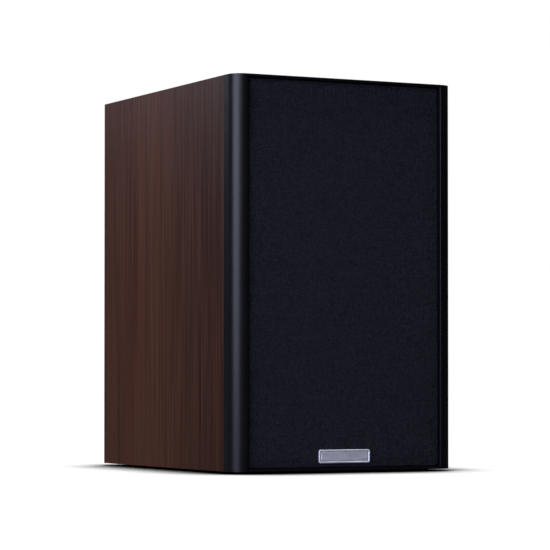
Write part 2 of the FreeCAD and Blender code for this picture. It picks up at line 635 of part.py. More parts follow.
tweeter_gasket = new_body("tweeter_gasket", "tweeter_axis")
turn(tweeter_gasket, [
    ("tweeter_cutout", "tweeter_back"), ("tweeter_radius", "tweeter_back"),
    ("tweeter_radius", "tweeter_plate_front"), ("tweeter_cutout", "tweeter_plate_front")])
cut(tweeter_gasket, ring_of("tweeter_screw_circle", "screw_shank + screw_gap", 4, 45),
    "tweeter_back", "tweeter_gasket")
sub_part(tweeter_gasket, "tweeter_gasket")
copies("tweeter_screws", driver_screw, on_circle("tweeter_screw_circle", "tweeter_axis"))

dome_seat = "(tweeter_plate_front - tweeter_surround_thickness)"
dome_sphere = "((dome_radius^2 + dome_rise^2) / (2 * dome_rise))"
dome_centre = f"({dome_seat} - dome_rise + {dome_sphere})"
turned_part("tweeter_dome", [
    ("0", f"{dome_centre} - {dome_sphere}"),
    ("0", f"{dome_centre} - {dome_sphere} + dome_thickness", "0", dome_centre, 1),
    (f"dome_radius * (1 - dome_thickness / {dome_sphere})",
     f"{dome_centre} - ({dome_centre} - {dome_seat}) * (1 - dome_thickness / {dome_sphere})"),
    ("dome_radius", dome_seat, "0", dome_centre, -1)], "tweeter_axis")
turned_part("tweeter_surround", surround_outline(
    "dome_radius + glue_line", "tweeter_roll_middle", "tweeter_roll_radius", 
    "throat_radius + surround_seat",
    "tweeter_plate_front", "tweeter_surround_thickness"), "tweeter_axis")
tweeter_coil_front = "tweeter_plate_front + glue_line"
turned_part("tweeter_voice_coil", [
    ("dome_radius", tweeter_coil_front), ("tweeter_coil_outer", tweeter_coil_front),
    ("tweeter_coil_outer", f"{tweeter_coil_front} + tweeter_coil_length"),
    ("dome_radius", f"{tweeter_coil_front} + tweeter_coil_length")], "tweeter_axis")
turned_part("tweeter_top_plate", [
    ("tweeter_gap_outer", "tweeter_plate_front"), ("tweeter_plate_radius", "tweeter_plate_front"),
    ("tweeter_plate_radius", "tweeter_plate_back"), ("tweeter_gap_outer", "tweeter_plate_back")],
    "tweeter_axis")
turned_part("tweeter_magnet", [
    ("tweeter_magnet_hole", "tweeter_plate_back"), ("tweeter_magnet_radius", "tweeter_plate_back"),
    ("tweeter_magnet_radius", "tweeter_magnet_back"), ("tweeter_magnet_hole", "tweeter_magnet_back")],
    "tweeter_axis")
turned_part("tweeter_pole_yoke", [
    ("0", "tweeter_plate_front + glue_gap"), ("tweeter_pole_radius", "tweeter_plate_front + glue_gap"),
    ("tweeter_pole_radius", "tweeter_magnet_back"), ("tweeter_magnet_radius", "tweeter_magnet_back"),
    ("tweeter_magnet_radius", "tweeter_magnet_back + tweeter_plate"),
    ("0", "tweeter_magnet_back + tweeter_plate")], "tweeter_axis")

# Terminals: a moulded block on the rim of the top plate, with two blades pointing back.
terminals = new_body("tweeter_terminals", "tweeter_axis")
block_x = "tweeter_magnet_radius + tag_block_gap"
slab(terminals, rectangle(block_x, f"{block_x} + tag_block_depth", "-tag_block_width / 2",
                          "tag_block_width / 2"), "tweeter_plate_back", "tag_block_length")
blade_left = f"{block_x} + (tag_block_depth - blade_thickness) / 2"
blade_right = f"{block_x} + (tag_block_depth + blade_thickness) / 2"
for side in ("-", ""):
    blade_z = f"{side}tag_block_width / 4"
    slab(terminals, rectangle(blade_left, blade_right, f"{blade_z} - blade_width / 2",
                              f"{blade_z} + blade_width / 2"),
         "tweeter_plate_back", "2 * tag_block_length")
sub_part(terminals, "tweeter_terminals")

# ---------------------------------------------------------------- grille
frame_part = new_body("grille_frame")
slab(frame_part, rounded("-frame_half", "frame_half", "frame_bottom", "frame_top", "grille_corner"),
     "cloth_back", "frame_thickness")
opening_x = "frame_half - grille_side_rail"
cross_rail = "(woofer_height + woofer_radius + tweeter_height - tweeter_radius) / 2"
for low, high in (("frame_bottom + grille_bottom_rail", f"{cross_rail} - grille_cross_rail / 2"),
                  (f"{cross_rail} + grille_cross_rail / 2", "frame_top - grille_top_rail")):
    cut(frame_part, rounded(f"-({opening_x})", opening_x, low, high, "grille_corner"),
        "cloth_back", "frame_thickness")
BADGE_PINS = [("-badge_pin_spacing / 2", "badge_middle"), ("badge_pin_spacing / 2", "badge_middle")]
pin_holes = [(x, z, "badge_pin_radius + screw_gap") for x, z in BADGE_PINS]
cut(frame_part, pin_holes, "cloth_back", "frame_thickness")
sub_part(frame_part, "grille_frame")

cloth = new_body("grille_cloth")
slab(cloth, rounded("-frame_half - cloth_thickness", "frame_half + cloth_thickness",
                    "frame_bottom - cloth_thickness", "frame_top + cloth_thickness",
                    "grille_corner"), "cloth_depth", "cloth_thickness")
cut(cloth, pin_holes, "cloth_depth", "cloth_thickness")
sub_part(cloth, "grille_cloth")

peg = new_body("grille_peg", "0", "0", "0")
peg_back = "pocket_depth - grille_back_gap"
turn(peg, [("0", peg_back), ("peg_radius", peg_back),
           ("peg_radius", f"{peg_back} + peg_length - peg_chamfer"),
           ("peg_radius - peg_chamfer", f"{peg_back} + peg_length"),
           ("0", f"{peg_back} + peg_length")])
AT_PEGS = [(x, "front", f"foot_height + {z}") for x, z in PEG_PLACES]
copies("grille_pegs", peg, AT_PEGS)

socket = new_body("grille_socket", "0", "0", "0")
socket_bore = "peg_radius + peg_gap"
turn(socket, [
    (socket_bore, "pocket_depth"), (f"{socket_bore} + socket_wall", "pocket_depth"),
    (f"{socket_bore} + socket_wall", "pocket_depth + socket_length"),
    ("0", "pocket_depth + socket_length"), ("0", "pocket_depth + socket_length - socket_floor"),
    (socket_bore, "pocket_depth + socket_length - socket_floor")])
copies("grille_sockets", socket, AT_PEGS)

# Badge: a pressed metal plate with a raised border, on two pins through the cloth.
badge = new_body("badge")
badge_left, badge_right = "-badge_width / 2", "badge_width / 2"
badge_low, badge_high = "badge_middle - badge_height / 2", "badge_middle + badge_height / 2"
badge_front = "cloth_depth - badge_thickness"
slab(badge, rounded(badge_left, badge_right, badge_low, badge_high, "badge_corner"),
     badge_front, "badge_thickness")
cut(badge, rounded(f"{badge_left} + badge_border", f"{badge_right} - badge_border",
                   f"{badge_low} + badge_border", f"{badge_high} - badge_border",
                   "badge_corner / 2"), badge_front, "badge_recess")
slab(badge, [(x, z, "badge_pin_radius") for x, z in BADGE_PINS], "cloth_depth", "frame_thickness")
sub_part(badge, "badge")

# ---------------------------------------------------------------- port
flare_start = "rear_face - port_flare"
turned_part("port_tube", [
    ("port_bore", "cabinet_depth - port_length"), ("port_bore + port_wall", "cabinet_depth - port_length"),
    ("port_bore + port_wall", "cabinet_depth"), ("port_flange_radius", "cabinet_depth"),
    ("port_flange_radius", "rear_face - port_chamfer"),
    ("port_flange_radius - port_chamfer", "rear_face"),
    ("port_bore + port_flare", "rear_face", "port_bore + port_flare", flare_start, 1),
    ("port_bore", flare_start)], "port_axis")

# ---------------------------------------------------------------- terminal cup
cup = new_body("terminal_cup", "terminal_axis")
slab(cup, rounded("-cup_width / 2", "cup_width / 2", "-cup_height / 2", "cup_height / 2",
                  "cup_corner"), "cabinet_depth", "rear_flange")
slab(cup, rounded("-cup_body_width / 2", "cup_body_width / 2", "-cup_body_height / 2",
                  "cup_body_height / 2", "cup_corner"), "well_back", "cabinet_depth - well_back")
well_x = "cup_body_width / 2 - cup_wall"
well_z = "cup_body_height / 2 - cup_wall"
cut(cup, rounded(f"-({well_x})", well_x, f"-({well_z})", well_z, "cup_corner - cup_wall"),
    "well_floor", "cup_well")
POSTS = {"red": "post_x", "black": "-post_x"}
cut(cup, [(x, "0", "stud_radius + thread_gap") for x in POSTS.values()], "well_back", "cup_wall")
cut(cup, [(x, z, "screw_shank + screw_gap") for x, z in CUP_SCREWS], "cabinet_depth", "rear_flange")
cut(cup, [(x, z, "screw_head + screw_gap") for x, z in CUP_SCREWS],
    "rear_face - screw_head_depth", "screw_head_depth")
sub_part(cup, "terminal_cup")

cup_screw = new_body("cup_screw", "0", "0", "0")
turn(cup_screw, [
    ("0", "rear_face"), ("0", "rear_face - screw_length"),
    ("screw_shank", "rear_face - screw_length + screw_shank"),
    ("screw_shank", "rear_face - screw_head_depth"), ("screw_head", "rear_face - screw_head_depth"),
    ("screw_head", "rear_face")])
cut(cup_screw, hexagon("screw_socket"), "rear_face - socket_depth", "screw_head_depth")
copies("terminal_cup_screws", cup_screw, [(x, "front", f"terminal_axis + {z}") for x, z in CUP_SCREWS])

# Each binding post is a hollow threaded stud with a plastic collar, a clamp washer and a cap
# that screws down on it. A wire goes through the cross hole, under the washer.
for colour, x in POSTS.items():
    stud = new_body(f"{colour}_post_stud", "terminal_axis", x)
    turn(stud, [
        ("0", "well_back - stud_tail"), ("stud_radius", "well_back - stud_tail"),
        ("stud_radius", "well_floor"), ("stud_shoulder", "well_floor"),
        ("stud_shoulder", "well_floor + shoulder_height"),
        ("stud_radius", "well_floor + shoulder_height"), ("stud_radius", "cap_top"),
        ("stud_bore", "cap_top"), ("stud_bore", "cap_top - stud_bore_length"),
        ("0", "cap_top - stud_bore_length")])
    cut(stud, [("0", "washer_top + wire_hole", "wire_hole")], "2 * stud_radius", "4 * stud_radius",
        "XY_Plane")
    sub_part(stud, f"{colour}_post_stud")
    turned_part(f"{colour}_post_collar", [
        ("stud_shoulder + thread_gap", "well_floor"), ("collar_radius", "well_floor"),
        ("collar_radius", "collar_top"), ("stud_radius + thread_gap", "collar_top"),
        ("stud_radius + thread_gap", "well_floor + shoulder_height + thread_gap"),
        ("stud_shoulder + thread_gap", "well_floor + shoulder_height + thread_gap")],
        "terminal_axis", x)
    turned_part(f"{colour}_post_washer", [
        ("stud_radius + thread_gap", "collar_top"), ("washer_radius", "collar_top"),
        ("washer_radius", "washer_top"), ("stud_radius + thread_gap", "washer_top")],
        "terminal_axis", x)
    cap = new_body(f"{colour}_post_cap", "terminal_axis", x)
    turn(cap, [
        ("stud_radius + thread_gap", "washer_top"), ("cap_radius", "washer_top"),
        ("cap_radius", "cap_top - cap_chamfer"), ("cap_radius - cap_chamfer", "cap_top"),
        ("stud_radius + thread_gap", "cap_top")])
    flute = cut(cap, [("0", "cap_radius + flute_offset", "flute_radius")],
                "washer_top + flute_start", "cap_length")
    repeat_round(cap, flute, "cap_flutes")
    sub_part(cap, f"{colour}_post_cap")

tag = new_body("post_tag", "0", "0", "0")
slab(tag, [("0", "0", "tag_radius")], "well_back - tag_thickness", "tag_thickness")
slab(tag, rectangle("-tag_width / 2", "tag_width / 2", "-tag_length", "-stud_radius"),
     "well_back - tag_thickness", "tag_thickness")
cut(tag, [("0", "0", "stud_radius + thread_gap")], "well_back - tag_thickness", "tag_thickness")
nut = new_body("post_nut", "0", "0", "0")
slab(nut, hexagon("nut_flat"), "well_back - tag_thickness - nut_height", "nut_height")
cut(nut, [("0", "0", "stud_radius + thread_gap")], "well_back - tag_thickness - nut_height",
    "nut_height")
AT_POSTS = [(x, "front", "terminal_axis") for x in POSTS.values()]
copies("solder_tags", tag, AT_POSTS)
copies("post_nuts", nut, AT_POSTS)

# ---------------------------------------------------------------- crossover
# The board stands on four spacers on the bottom panel, behind the brace.
board = new_body("crossover_board")
slab(board, rectangle("-board_width / 2", "board_width / 2", "board_bottom", "board_top"),
     "board_depth", "board_length")
cut(board, [(x, y, "board_screw + screw_gap") for x, y in BOARD_HOLES], "board_top",
    "board_thickness", "XY_Plane")
sub_part(board, "crossover_board")


def upright(name, shape_steps):
    """A piece turned about a vertical axis, stacked from (radius, bottom, top) steps."""
    body = new_body(name, "0", "0", "0")
    for radius, bottom, top in shape_steps:
        sketch = new_sketch(body, "XY_Plane", bottom)
        circles(sketch, [("0", "0", radius)])
        feature = body.newObject("PartDesign::Pad", f"{name}_pad")
        feature.Profile = sketch
        bind(feature, "Length", f"{top} - ({bottom})")
    return body


AT_BOARD_HOLES = [(x, f"front + {y}", "foot_height") for x, y in BOARD_HOLES]
standoff = upright("standoff", [("standoff_radius", "wall", "board_bottom")])
cut(standoff, [("0", "0", "board_screw + screw_gap")], "board_bottom", "standoff_height", "XY_Plane")
copies("crossover_standoffs", standoff, AT_BOARD_HOLES)
board_screw = upright("board_screw_piece", [
    ("board_screw", "wall - board_screw_bite", "board_top"),
    ("2 * board_screw", "board_top", "board_top + board_screw")])
copies("crossover_screws", board_screw, AT_BOARD_HOLES)

low_coil = upright("low_coil", [("low_coil_radius", "board_top", "board_top + low_coil_height")])
cut(low_coil, [("0", "0", "coil_core_radius + glue_gap")], "board_top + low_coil_height",
    "low_coil_height", "XY_Plane")
high_coil = upright("high_coil", [("high_coil_radius", "board_top", "board_top + high_coil_height")])
cut(high_coil, [("0", "0", "high_coil_hole")], "board_top + high_coil_height",
    "high_coil_height", "XY_Plane")
coil_y = "front + board_depth + board_inset + low_coil_radius"
place(low_coil, "-board_width / 4", coil_y, "foot_height")
place(high_coil, "board_width / 4", coil_y, "foot_height")
windings = doc.addObject("Part::Compound", "inductor_windings")
windings.Links = [low_coil, high_coil]
sub_part(windings, "inductor_windings")
core = upright("inductor_core", [("coil_core_radius", "board_top", "board_top + coil_core_height")])
place(core, "-board_width / 4", coil_y, "foot_height")
sub_part(core, "inductor_core")

capacitor = doc.addObject("Part::Cylinder", "capacitor")
bind(capacitor, "Radius", "capacitor_radius")
bind(capacitor, "Height", "capacitor_length")
capacitor.Placement.Rotation = FreeCAD.Rotation(FreeCAD.Vector(0, 1, 0), 90)
capacitor_row = doc.addObject("Part::Compound", "capacitor_lying")
capacitor_row.Links = [capacitor]
row_y = ["front + board_back - capacitor_radius - glue_gap",
         "front + board_back - 3 * capacitor_radius - 3 * glue_gap"]
copies("capacitors", capacitor_row, [
    ("capacitor_inset - board_width / 2", y, "foot_height + board_top + capacitor_radius + glue_gap")
    for y in row_y])
resistor = doc.addObject("Part::Box", "resistor")
bind(resistor, "Length", "resistor_length")
bind(resistor, "Width", "resistor_width")
bind(resistor, "Height", "resistor_width")
copies("resistors", resistor, [
    ("board_width / 2 - 2 * board_inset - resistor_length", f"{y} - resistor_width / 2",
     "foot_height + board_top") for y in row_y])

# ---------------------------------------------------------------- foam
foam = doc.addObject("Part::Box", "foam_pad")
bind(foam, "Length", "foam_thickness")
bind(foam, "Width", "rear_inside - brace_back - 2 * foam_margin")
bind(foam, "Height", "cabinet_height - wall - foam_margin - foam_bottom")
copies("foam_pads", foam, [(x, "front + brace_back + foam_margin", "foot_height + foam_bottom")
                           for x in ("foam_gap - inner_half", "inner_half - foam_gap - foam_thickness")])

# ---------------------------------------------------------------- wiring
# Leads run from solder joint to solder joint, as straight runs joined by tangent arcs.


ARC_SHARE = 0.45        # of its shorter run, that a corner's arc takes up


def lead_route(points):
    """The route's edges: each corner becomes the largest arc that its shorter run allows."""
    spots = [FreeCAD.Vector(*point) for point in points]
    edges = []
    start = spots[0]
    for before, corner, after in zip(spots, spots[1:], spots[2:]):
        arriving, leaving = (corner - before), (after - corner)
        half_turn = arriving.getAngle(leaving) / 2
        reach = ARC_SHARE * min(arriving.Length, leaving.Length)
        arriving.normalize()
        leaving.normalize()
        first, last = corner - arriving * reach, corner + leaving * reach
        radius = reach / math.tan(half_turn)
        inward = (leaving - arriving).normalize()
        crest = corner + inward * (radius / math.cos(half_turn) - radius)
        edges.append(Part.LineSegment(start, first).toShape())
        edges.append(Part.Arc(first, crest, last).toShape())
        start = last
    edges.append(Part.LineSegment(start, spots[-1]).toShape())
    return Part.Wire(edges)


def lead_tube(points, radius):
    route = lead_route(points)
    first = FreeCAD.Vector(*points[0])
    heading = FreeCAD.Vector(*points[1]) - first
    section = Part.Wire(Part.Circle(first, heading, radius).toShape())
    tube = route.makePipeShell([section], True, True)
    expected = math.pi * radius ** 2 * route.Length
    if abs(tube.Volume - expected) > 0.01 * expected:
        raise ValueError("a lead's tube doesn't hold its section times its length")
    return tube


def leads(label, routes, radius, height):
    """One node for a pair of leads. Points are (x, depth, z) about an axis at the given height."""
    node = doc.addObject("Part::Feature", label)
    node.Shape = Part.Compound([lead_tube(points, value(radius)) for points in routes])
    place(node, "0", "front", height)
    return sub_part(node, label)


def mirrored(points):
    return [(-x, y, z) for x, y, z in points]


TINSEL = [(12, 40, -52.7), (12, 44.5, -46), (12, 44, -38), (12, 39, -31), (12, 32.2, -25.5)]
leads("woofer_tinsel_leads", [TINSEL, mirrored(TINSEL)], "tinsel_radius", "woofer_axis")

INPUT_LEAD = [(9.5, 235.2, 68), (9.5, 227, 63), (9.5, 222, 50), (10, 219, 38), (11, 209, 28),
              (12, 200, 26.2)]
leads("input_leads", [INPUT_LEAD, mirrored(INPUT_LEAD)], "lead_radius", "foot_height")

WOOFER_LEAD = [(12, 40, 38.4), (13, 54, 33), (15, 80, 34), (16, 108, 40), (15, 124, 34),
               (14, 134, 26.2)]
TWEETER_LEAD = [(33.3, 30.4, 244.5), (36, 42, 238), (41, 66, 220), (43, 96, 196), (45, 124, 172),
                (46, 134, 136), (46, 140, 96), (46, 139, 58), (44, 137, 40), (40, 135, 26.4)]
TWEETER_RETURN = [(33.3, 30.4, 235.5), (34, 42, 229), (37, 66, 212)] + [
    (x - 4.2, y, z) for x, y, z in TWEETER_LEAD[3:]]
leads("driver_leads", [WOOFER_LEAD, mirrored(WOOFER_LEAD), TWEETER_LEAD, TWEETER_RETURN],
      "lead_radius", "foot_height")

# ---------------------------------------------------------------- checks and export
doc.recompute()
for item in doc.Objects:
    if "Invalid" in item.State or "Error" in item.State:
        raise ValueError(f"{item.Label} failed: {item.State}")
for piece in sub_parts:
    if piece.Shape.isNull() or not piece.Shape.isValid() or not piece.Shape.Solids:
        raise ValueError(f"{piece.Label} has no valid solid")

os.makedirs("parts", exist_ok=True)
for piece in sub_parts:
    piece.Shape.exportStep(f"parts/{piece.Label}.step")
    box = piece.Shape.BoundBox
    print(f"{piece.Label:24} {len(piece.Shape.Solids)} solids {piece.Shape.Volume:12.1f} mm3 "
          f"x {box.XMin:.1f}..{box.XMax:.1f} y {box.YMin:.1f}..{box.YMax:.1f} "
          f"z {box.ZMin:.1f}..{box.ZMax:.1f}")
print(f"{len(sub_parts)} nodes")
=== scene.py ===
import math

import bpy
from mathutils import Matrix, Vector


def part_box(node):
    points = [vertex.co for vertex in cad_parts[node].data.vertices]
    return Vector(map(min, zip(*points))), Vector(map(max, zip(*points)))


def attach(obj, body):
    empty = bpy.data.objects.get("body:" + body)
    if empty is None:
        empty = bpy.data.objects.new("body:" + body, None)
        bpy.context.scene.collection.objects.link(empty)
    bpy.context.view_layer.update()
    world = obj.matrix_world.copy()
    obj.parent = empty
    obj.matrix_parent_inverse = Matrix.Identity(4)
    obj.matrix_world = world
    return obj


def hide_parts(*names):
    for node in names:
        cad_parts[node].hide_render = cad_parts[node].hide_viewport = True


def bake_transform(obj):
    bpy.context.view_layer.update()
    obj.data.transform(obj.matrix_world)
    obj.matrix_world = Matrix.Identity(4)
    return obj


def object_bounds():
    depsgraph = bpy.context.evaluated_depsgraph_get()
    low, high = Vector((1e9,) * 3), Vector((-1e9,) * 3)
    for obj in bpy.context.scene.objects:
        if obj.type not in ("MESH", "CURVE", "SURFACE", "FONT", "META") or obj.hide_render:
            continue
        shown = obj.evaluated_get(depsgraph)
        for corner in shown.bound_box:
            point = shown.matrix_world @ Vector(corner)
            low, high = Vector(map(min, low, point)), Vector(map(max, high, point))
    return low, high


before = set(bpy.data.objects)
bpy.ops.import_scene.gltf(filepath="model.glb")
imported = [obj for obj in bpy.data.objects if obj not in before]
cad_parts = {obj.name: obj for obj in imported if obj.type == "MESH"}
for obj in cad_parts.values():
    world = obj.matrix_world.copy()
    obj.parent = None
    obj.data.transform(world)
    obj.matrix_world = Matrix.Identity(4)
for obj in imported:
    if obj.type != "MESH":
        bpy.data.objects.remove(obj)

cad_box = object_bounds()
MM = 0.001

# ------------------------------------------------------------------------------------------------
# The room. White paper under a wide softbox on the left, a smaller one behind it, weak fills on the
# right and by the camera, and an overhead light. The camera stands low, to the left of the front.
# ------------------------------------------------------------------------------------------------


def linear(hex_colour):
    """An sRGB hex colour as the linear colour that a shader takes."""
    channels = [int(hex_colour[i:i + 2], 16) / 255 for i in (1, 3, 5)]
    return (*(c / 12.92 if c <= 0.04045 else ((c + 0.055) / 1.055) ** 2.4 for c in channels), 1)


def node(tree, kind, sockets, **settings):
    """Adds a node with its settings, its socket values and the links into it."""
    made = tree.nodes.new(kind)
    for name, value in settings.items():
        setattr(made, name, value)
    for socket, value in sockets.items():
        if isinstance(value, bpy.types.NodeSocket):
            tree.links.new(value, made.inputs[socket])
        else:
            made.inputs[socket].default_value = value
    return made


def start_finish(name, **plain):
    """A material with one shader. Its plain values are the same all over the surface."""
    material = bpy.data.materials.new(name)
    material.use_nodes = True
    tree = material.node_tree
    tree.nodes.clear()
    sockets = {key.replace("_", " ").title().replace("Ior", "IOR"): value
               for key, value in plain.items()}
    shader = node(tree, "ShaderNodeBsdfPrincipled", sockets)
    node(tree, "ShaderNodeOutputMaterial", {"Surface": shader.outputs["BSDF"]})
    return material, tree, shader


SHARP_ANGLE = math.radians(40)


def mesh_piece(name, corners, faces, material):
    """A mesh object of that name, smooth where its faces meet at less than the sharp angle."""
    mesh = bpy.data.meshes.new(name)
    mesh.from_pydata([tuple(corner) for corner in corners], [], faces)
    mesh.validate()
    mesh.shade_smooth()
    mesh.set_sharp_from_angle(angle=SHARP_ANGLE)
    mesh.materials.append(material)
    piece = bpy.data.objects.new(name, mesh)
    bpy.context.scene.collection.objects.link(piece)
    return piece


# Matt white paper, even and without shine. It throws back only part of the light that it shows, as
# a table with dark surroundings does, so that it doesn't wash out the dark sides.
paper, paper_tree, paper_shader = start_finish("white_paper_matt", roughness=0.9,
                                               specular_ior_level=0.1)
# Close to the speaker the paper's colour is darkened into a painted contact shadow: the soft dark
# line under a thing that stands on a table, drawn from how much of the paper's surroundings is
# open. Right beside it, a little under half of the paper's surroundings is open.
CONTACT_REACH = 0.075
OPEN_BESIDE_IT = 0.47
near_things = node(paper_tree, "ShaderNodeAmbientOcclusion", {"Distance": CONTACT_REACH},
                   samples=16)
out_in_the_open = node(paper_tree, "ShaderNodeMapRange",
                       {"Value": near_things.outputs["AO"], "From Min": OPEN_BESIDE_IT,
                        "From Max": 1.0}, interpolation_type="SMOOTHSTEP")
# This mix paints the contact shadow into the paper's colour.
painted_contact_shadow_tone = node(paper_tree, "ShaderNodeMix",
                 {0: out_in_the_open.outputs["Result"], 6: linear("#222222"),
                  7: linear("#f8f8f8")}, data_type="RGBA")
looked_at = node(paper_tree, "ShaderNodeLightPath", {})
paper_tone = node(paper_tree, "ShaderNodeMix",
                  {0: looked_at.outputs["Is Camera Ray"], 6: linear("#4e4e4e"),
                   7: painted_contact_shadow_tone.outputs[2]}, data_type="RGBA")
paper_tree.links.new(paper_tone.outputs[2], paper_shader.inputs["Base Color"])
PAPER_REACH = 6
paper_corners = [(x * PAPER_REACH, y * PAPER_REACH, 0)
                 for x, y in ((-1, -1), (1, -1), (1, 1), (-1, 1))]
floor = mesh_piece("paper_floor", paper_corners, [(0, 1, 2, 3)], paper)

# The walls are white to look at, and throw hardly any light on the speaker.
WALL_LIGHT = 0.02
world = bpy.data.worlds.new("white_room")
world.use_nodes = True
world.node_tree.nodes.clear()
seen = node(world.node_tree, "ShaderNodeLightPath", {})
wall_light = node(world.node_tree, "ShaderNodeMapRange",
                  {"Value": seen.outputs["Is Camera Ray"], "To Min": WALL_LIGHT, "To Max": 1.0})
backdrop = node(world.node_tree, "ShaderNodeBackground",
                {"Color": linear("#ffffff"), "Strength": wall_light.outputs["Result"]})
node(world.node_tree, "ShaderNodeOutputWorld", {"Surface": backdrop.outputs["Background"]})
bpy.context.scene.world = world
bpy.context.scene.view_settings.view_transform = "Standard"

# The softboxes have flags that keep their light off the paper, so that only the overhead light
# throws a shadow on it, besides the contact shadow painted into its colour.
flagged = bpy.data.collections.new("kept_off_the_paper")
flagged.objects.link(floor)
flagged.collection_objects[0].light_linking.link_state = "EXCLUDE"


def softbox(name, place, aim, width, height, watts, colour):
    """A rectangular light with its face turned to a point."""
    lamp = bpy.data.lights.new(name, "AREA")
    lamp.shape = "RECTANGLE"
    lamp.size, lamp.size_y = width, height
    lamp.energy = watts
    lamp.color = linear(colour)[:3]
    box = bpy.data.objects.new(name, lamp)
    box.location = place
    box.rotation_euler = (Vector(aim) - Vector(place)).to_track_quat("-Z", "Y").to_euler()
    box.light_linking.receiver_collection = flagged
    bpy.context.scene.collection.objects.link(box)


softbox("left_softbox", (-1.5, -0.84, 0.75), (0, 0, 0.17), 1.5, 1.3, 76, "#dde3ff")
softbox("back_left_softbox", (-0.72, 1.2, 0.95), (0, 0, 0.25), 0.8, 0.6, 15, "#e6ebff")
softbox("right_fill", (1.1, 0.2, 1.5), (0, 0, 0.15), 0.8, 0.8, 12, "#f2f4ff")
softbox("camera_fill", (-1.0, -2.1, 0.9), (0, 0, 0.15), 0.5, 0.5, 6, "#f2f4ff")

# Where the camera stands, how far round from straight ahead it looks, and how far up from level.
CAMERA_PLACE = (-0.9446, -1.8920, 0.0709)
CAMERA_SWING = math.radians(26.59)
CAMERA_LIFT = math.radians(1.2)

# The overhead light leans towards the camera, so that its shadow falls back, out of sight.
OVERHEAD_LEAN = math.radians(3)
overhead = bpy.data.lights.new("overhead_soft_light", "SUN")
overhead.energy = 3.7
overhead.angle = math.radians(10)
overhead_lamp = bpy.data.objects.new("overhead_soft_light", overhead)
overhead_lamp.location = (0, 0, 2)
overhead_lamp.rotation_euler = (OVERHEAD_LEAN, 0, -CAMERA_SWING)
bpy.context.scene.collection.objects.link(overhead_lamp)

camera_data = bpy.data.cameras.new("camera")
camera_data.lens = 168.15
camera_data.sensor_width = 36
camera_data.shift_y = 0.0963
camera_data.clip_end = 100
camera = bpy.data.objects.new("camera", camera_data)
camera.location = CAMERA_PLACE
camera.rotation_euler = (math.radians(90) + CAMERA_LIFT, 0, -CAMERA_SWING)
bpy.context.scene.collection.objects.link(camera)
bpy.context.scene.camera = camera

# ------------------------------------------------------------------------------------------------
# Cabinet wrap. Four fibreboard panels folded at mitred corners under one sheet of walnut foil, so
# the grain runs up the sides and on across the top. The real panels' inside faces are bare sawn
# board; here the foil finish covers them too.
# ------------------------------------------------------------------------------------------------


def dress(material, *names):
    """Gives CAD nodes their finish."""
    for name in names:
        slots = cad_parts[name].data.materials
        slots.clear()
        slots.append(material)


def ramp(tree, factor, *stops):
    """A colour ramp with its (position, hex colour) stops."""
    made = node(tree, "ShaderNodeValToRGB", {"Fac": factor})
    elements = made.color_ramp.elements
    while len(elements) < len(stops):
        elements.new(0.5)
    for element, (position, colour) in zip(elements, stops):
        element.position = position
        element.color = linear(colour)
    return made.outputs["Color"]


def drawn_noise(tree, size, detail=3):
    """Noise whose grain has that size in millimetres along x, y and z."""
    place = node(tree, "ShaderNodeTexCoord", {})
    stretched = node(tree, "ShaderNodeMapping", {"Vector": place.outputs["Object"],
                                                 "Scale": tuple(1 / (MM * s) for s in size)})
    made = node(tree, "ShaderNodeTexNoise", {"Vector": stretched.outputs["Vector"], "Scale": 1,
                                             "Detail": detail, "Roughness": 0.6})
    return made.outputs["Fac"]


def spread(tree, value, low, high, low_in=0.3, high_in=0.7):
    """Spreads a value over a range. Noise lies mostly between 0.3 and 0.7."""
    spread_out = node(tree, "ShaderNodeMapRange",
                      {"Value": value, "From Min": low_in, "From Max": high_in, "To Min": low,
                       "To Max": high})
    return spread_out.outputs["Result"]


def raised(tree, shader, height, depth):
    """Lets a height in 0 to 1 raise the surface by a depth in millimetres."""
    bump = node(tree, "ShaderNodeBump", {"Height": height, "Distance": depth * MM, "Strength": 1})
    tree.links.new(bump.outputs["Normal"], shader.inputs["Normal"])


def blended(tree, share, under, over):
    """One colour over another, by a share from 0 to 1."""
    mixed = node(tree, "ShaderNodeMix", {0: share, 6: under, 7: over}, data_type="RGBA")
    return mixed.outputs[2]


def feed(tree, shader, **sources):
    """Links the outputs that vary over the surface into the shader."""
    for socket, source in sources.items():
        tree.links.new(source, shader.inputs[socket.replace("_", " ").title()])


# The foil's broad figure, from the panels' front edge to their back one: a darker strip along the
# front edge, which is painted shade for the light falling off towards the front, then a paler
# heart, a reddish streak and a grey-brown band, which wander by up to 18 mm.
PANEL_FRONT, PANEL_BACK = -110.5, 125.5
WANDER = 18
# The length in millimetres over which the grain changes across a panel's thickness: hardly at all.
THROUGH_THE_FOIL = 400
FIGURE_WITH_FRONT_SHADE = ((0, "#170a06"), (0.2, "#22110b"), (0.4, "#2c1910"), (0.56, "#371f14"), (0.68, "#351e13"),
          (0.76, "#371a11"), (0.84, "#301b13"), (1, "#311c13"))


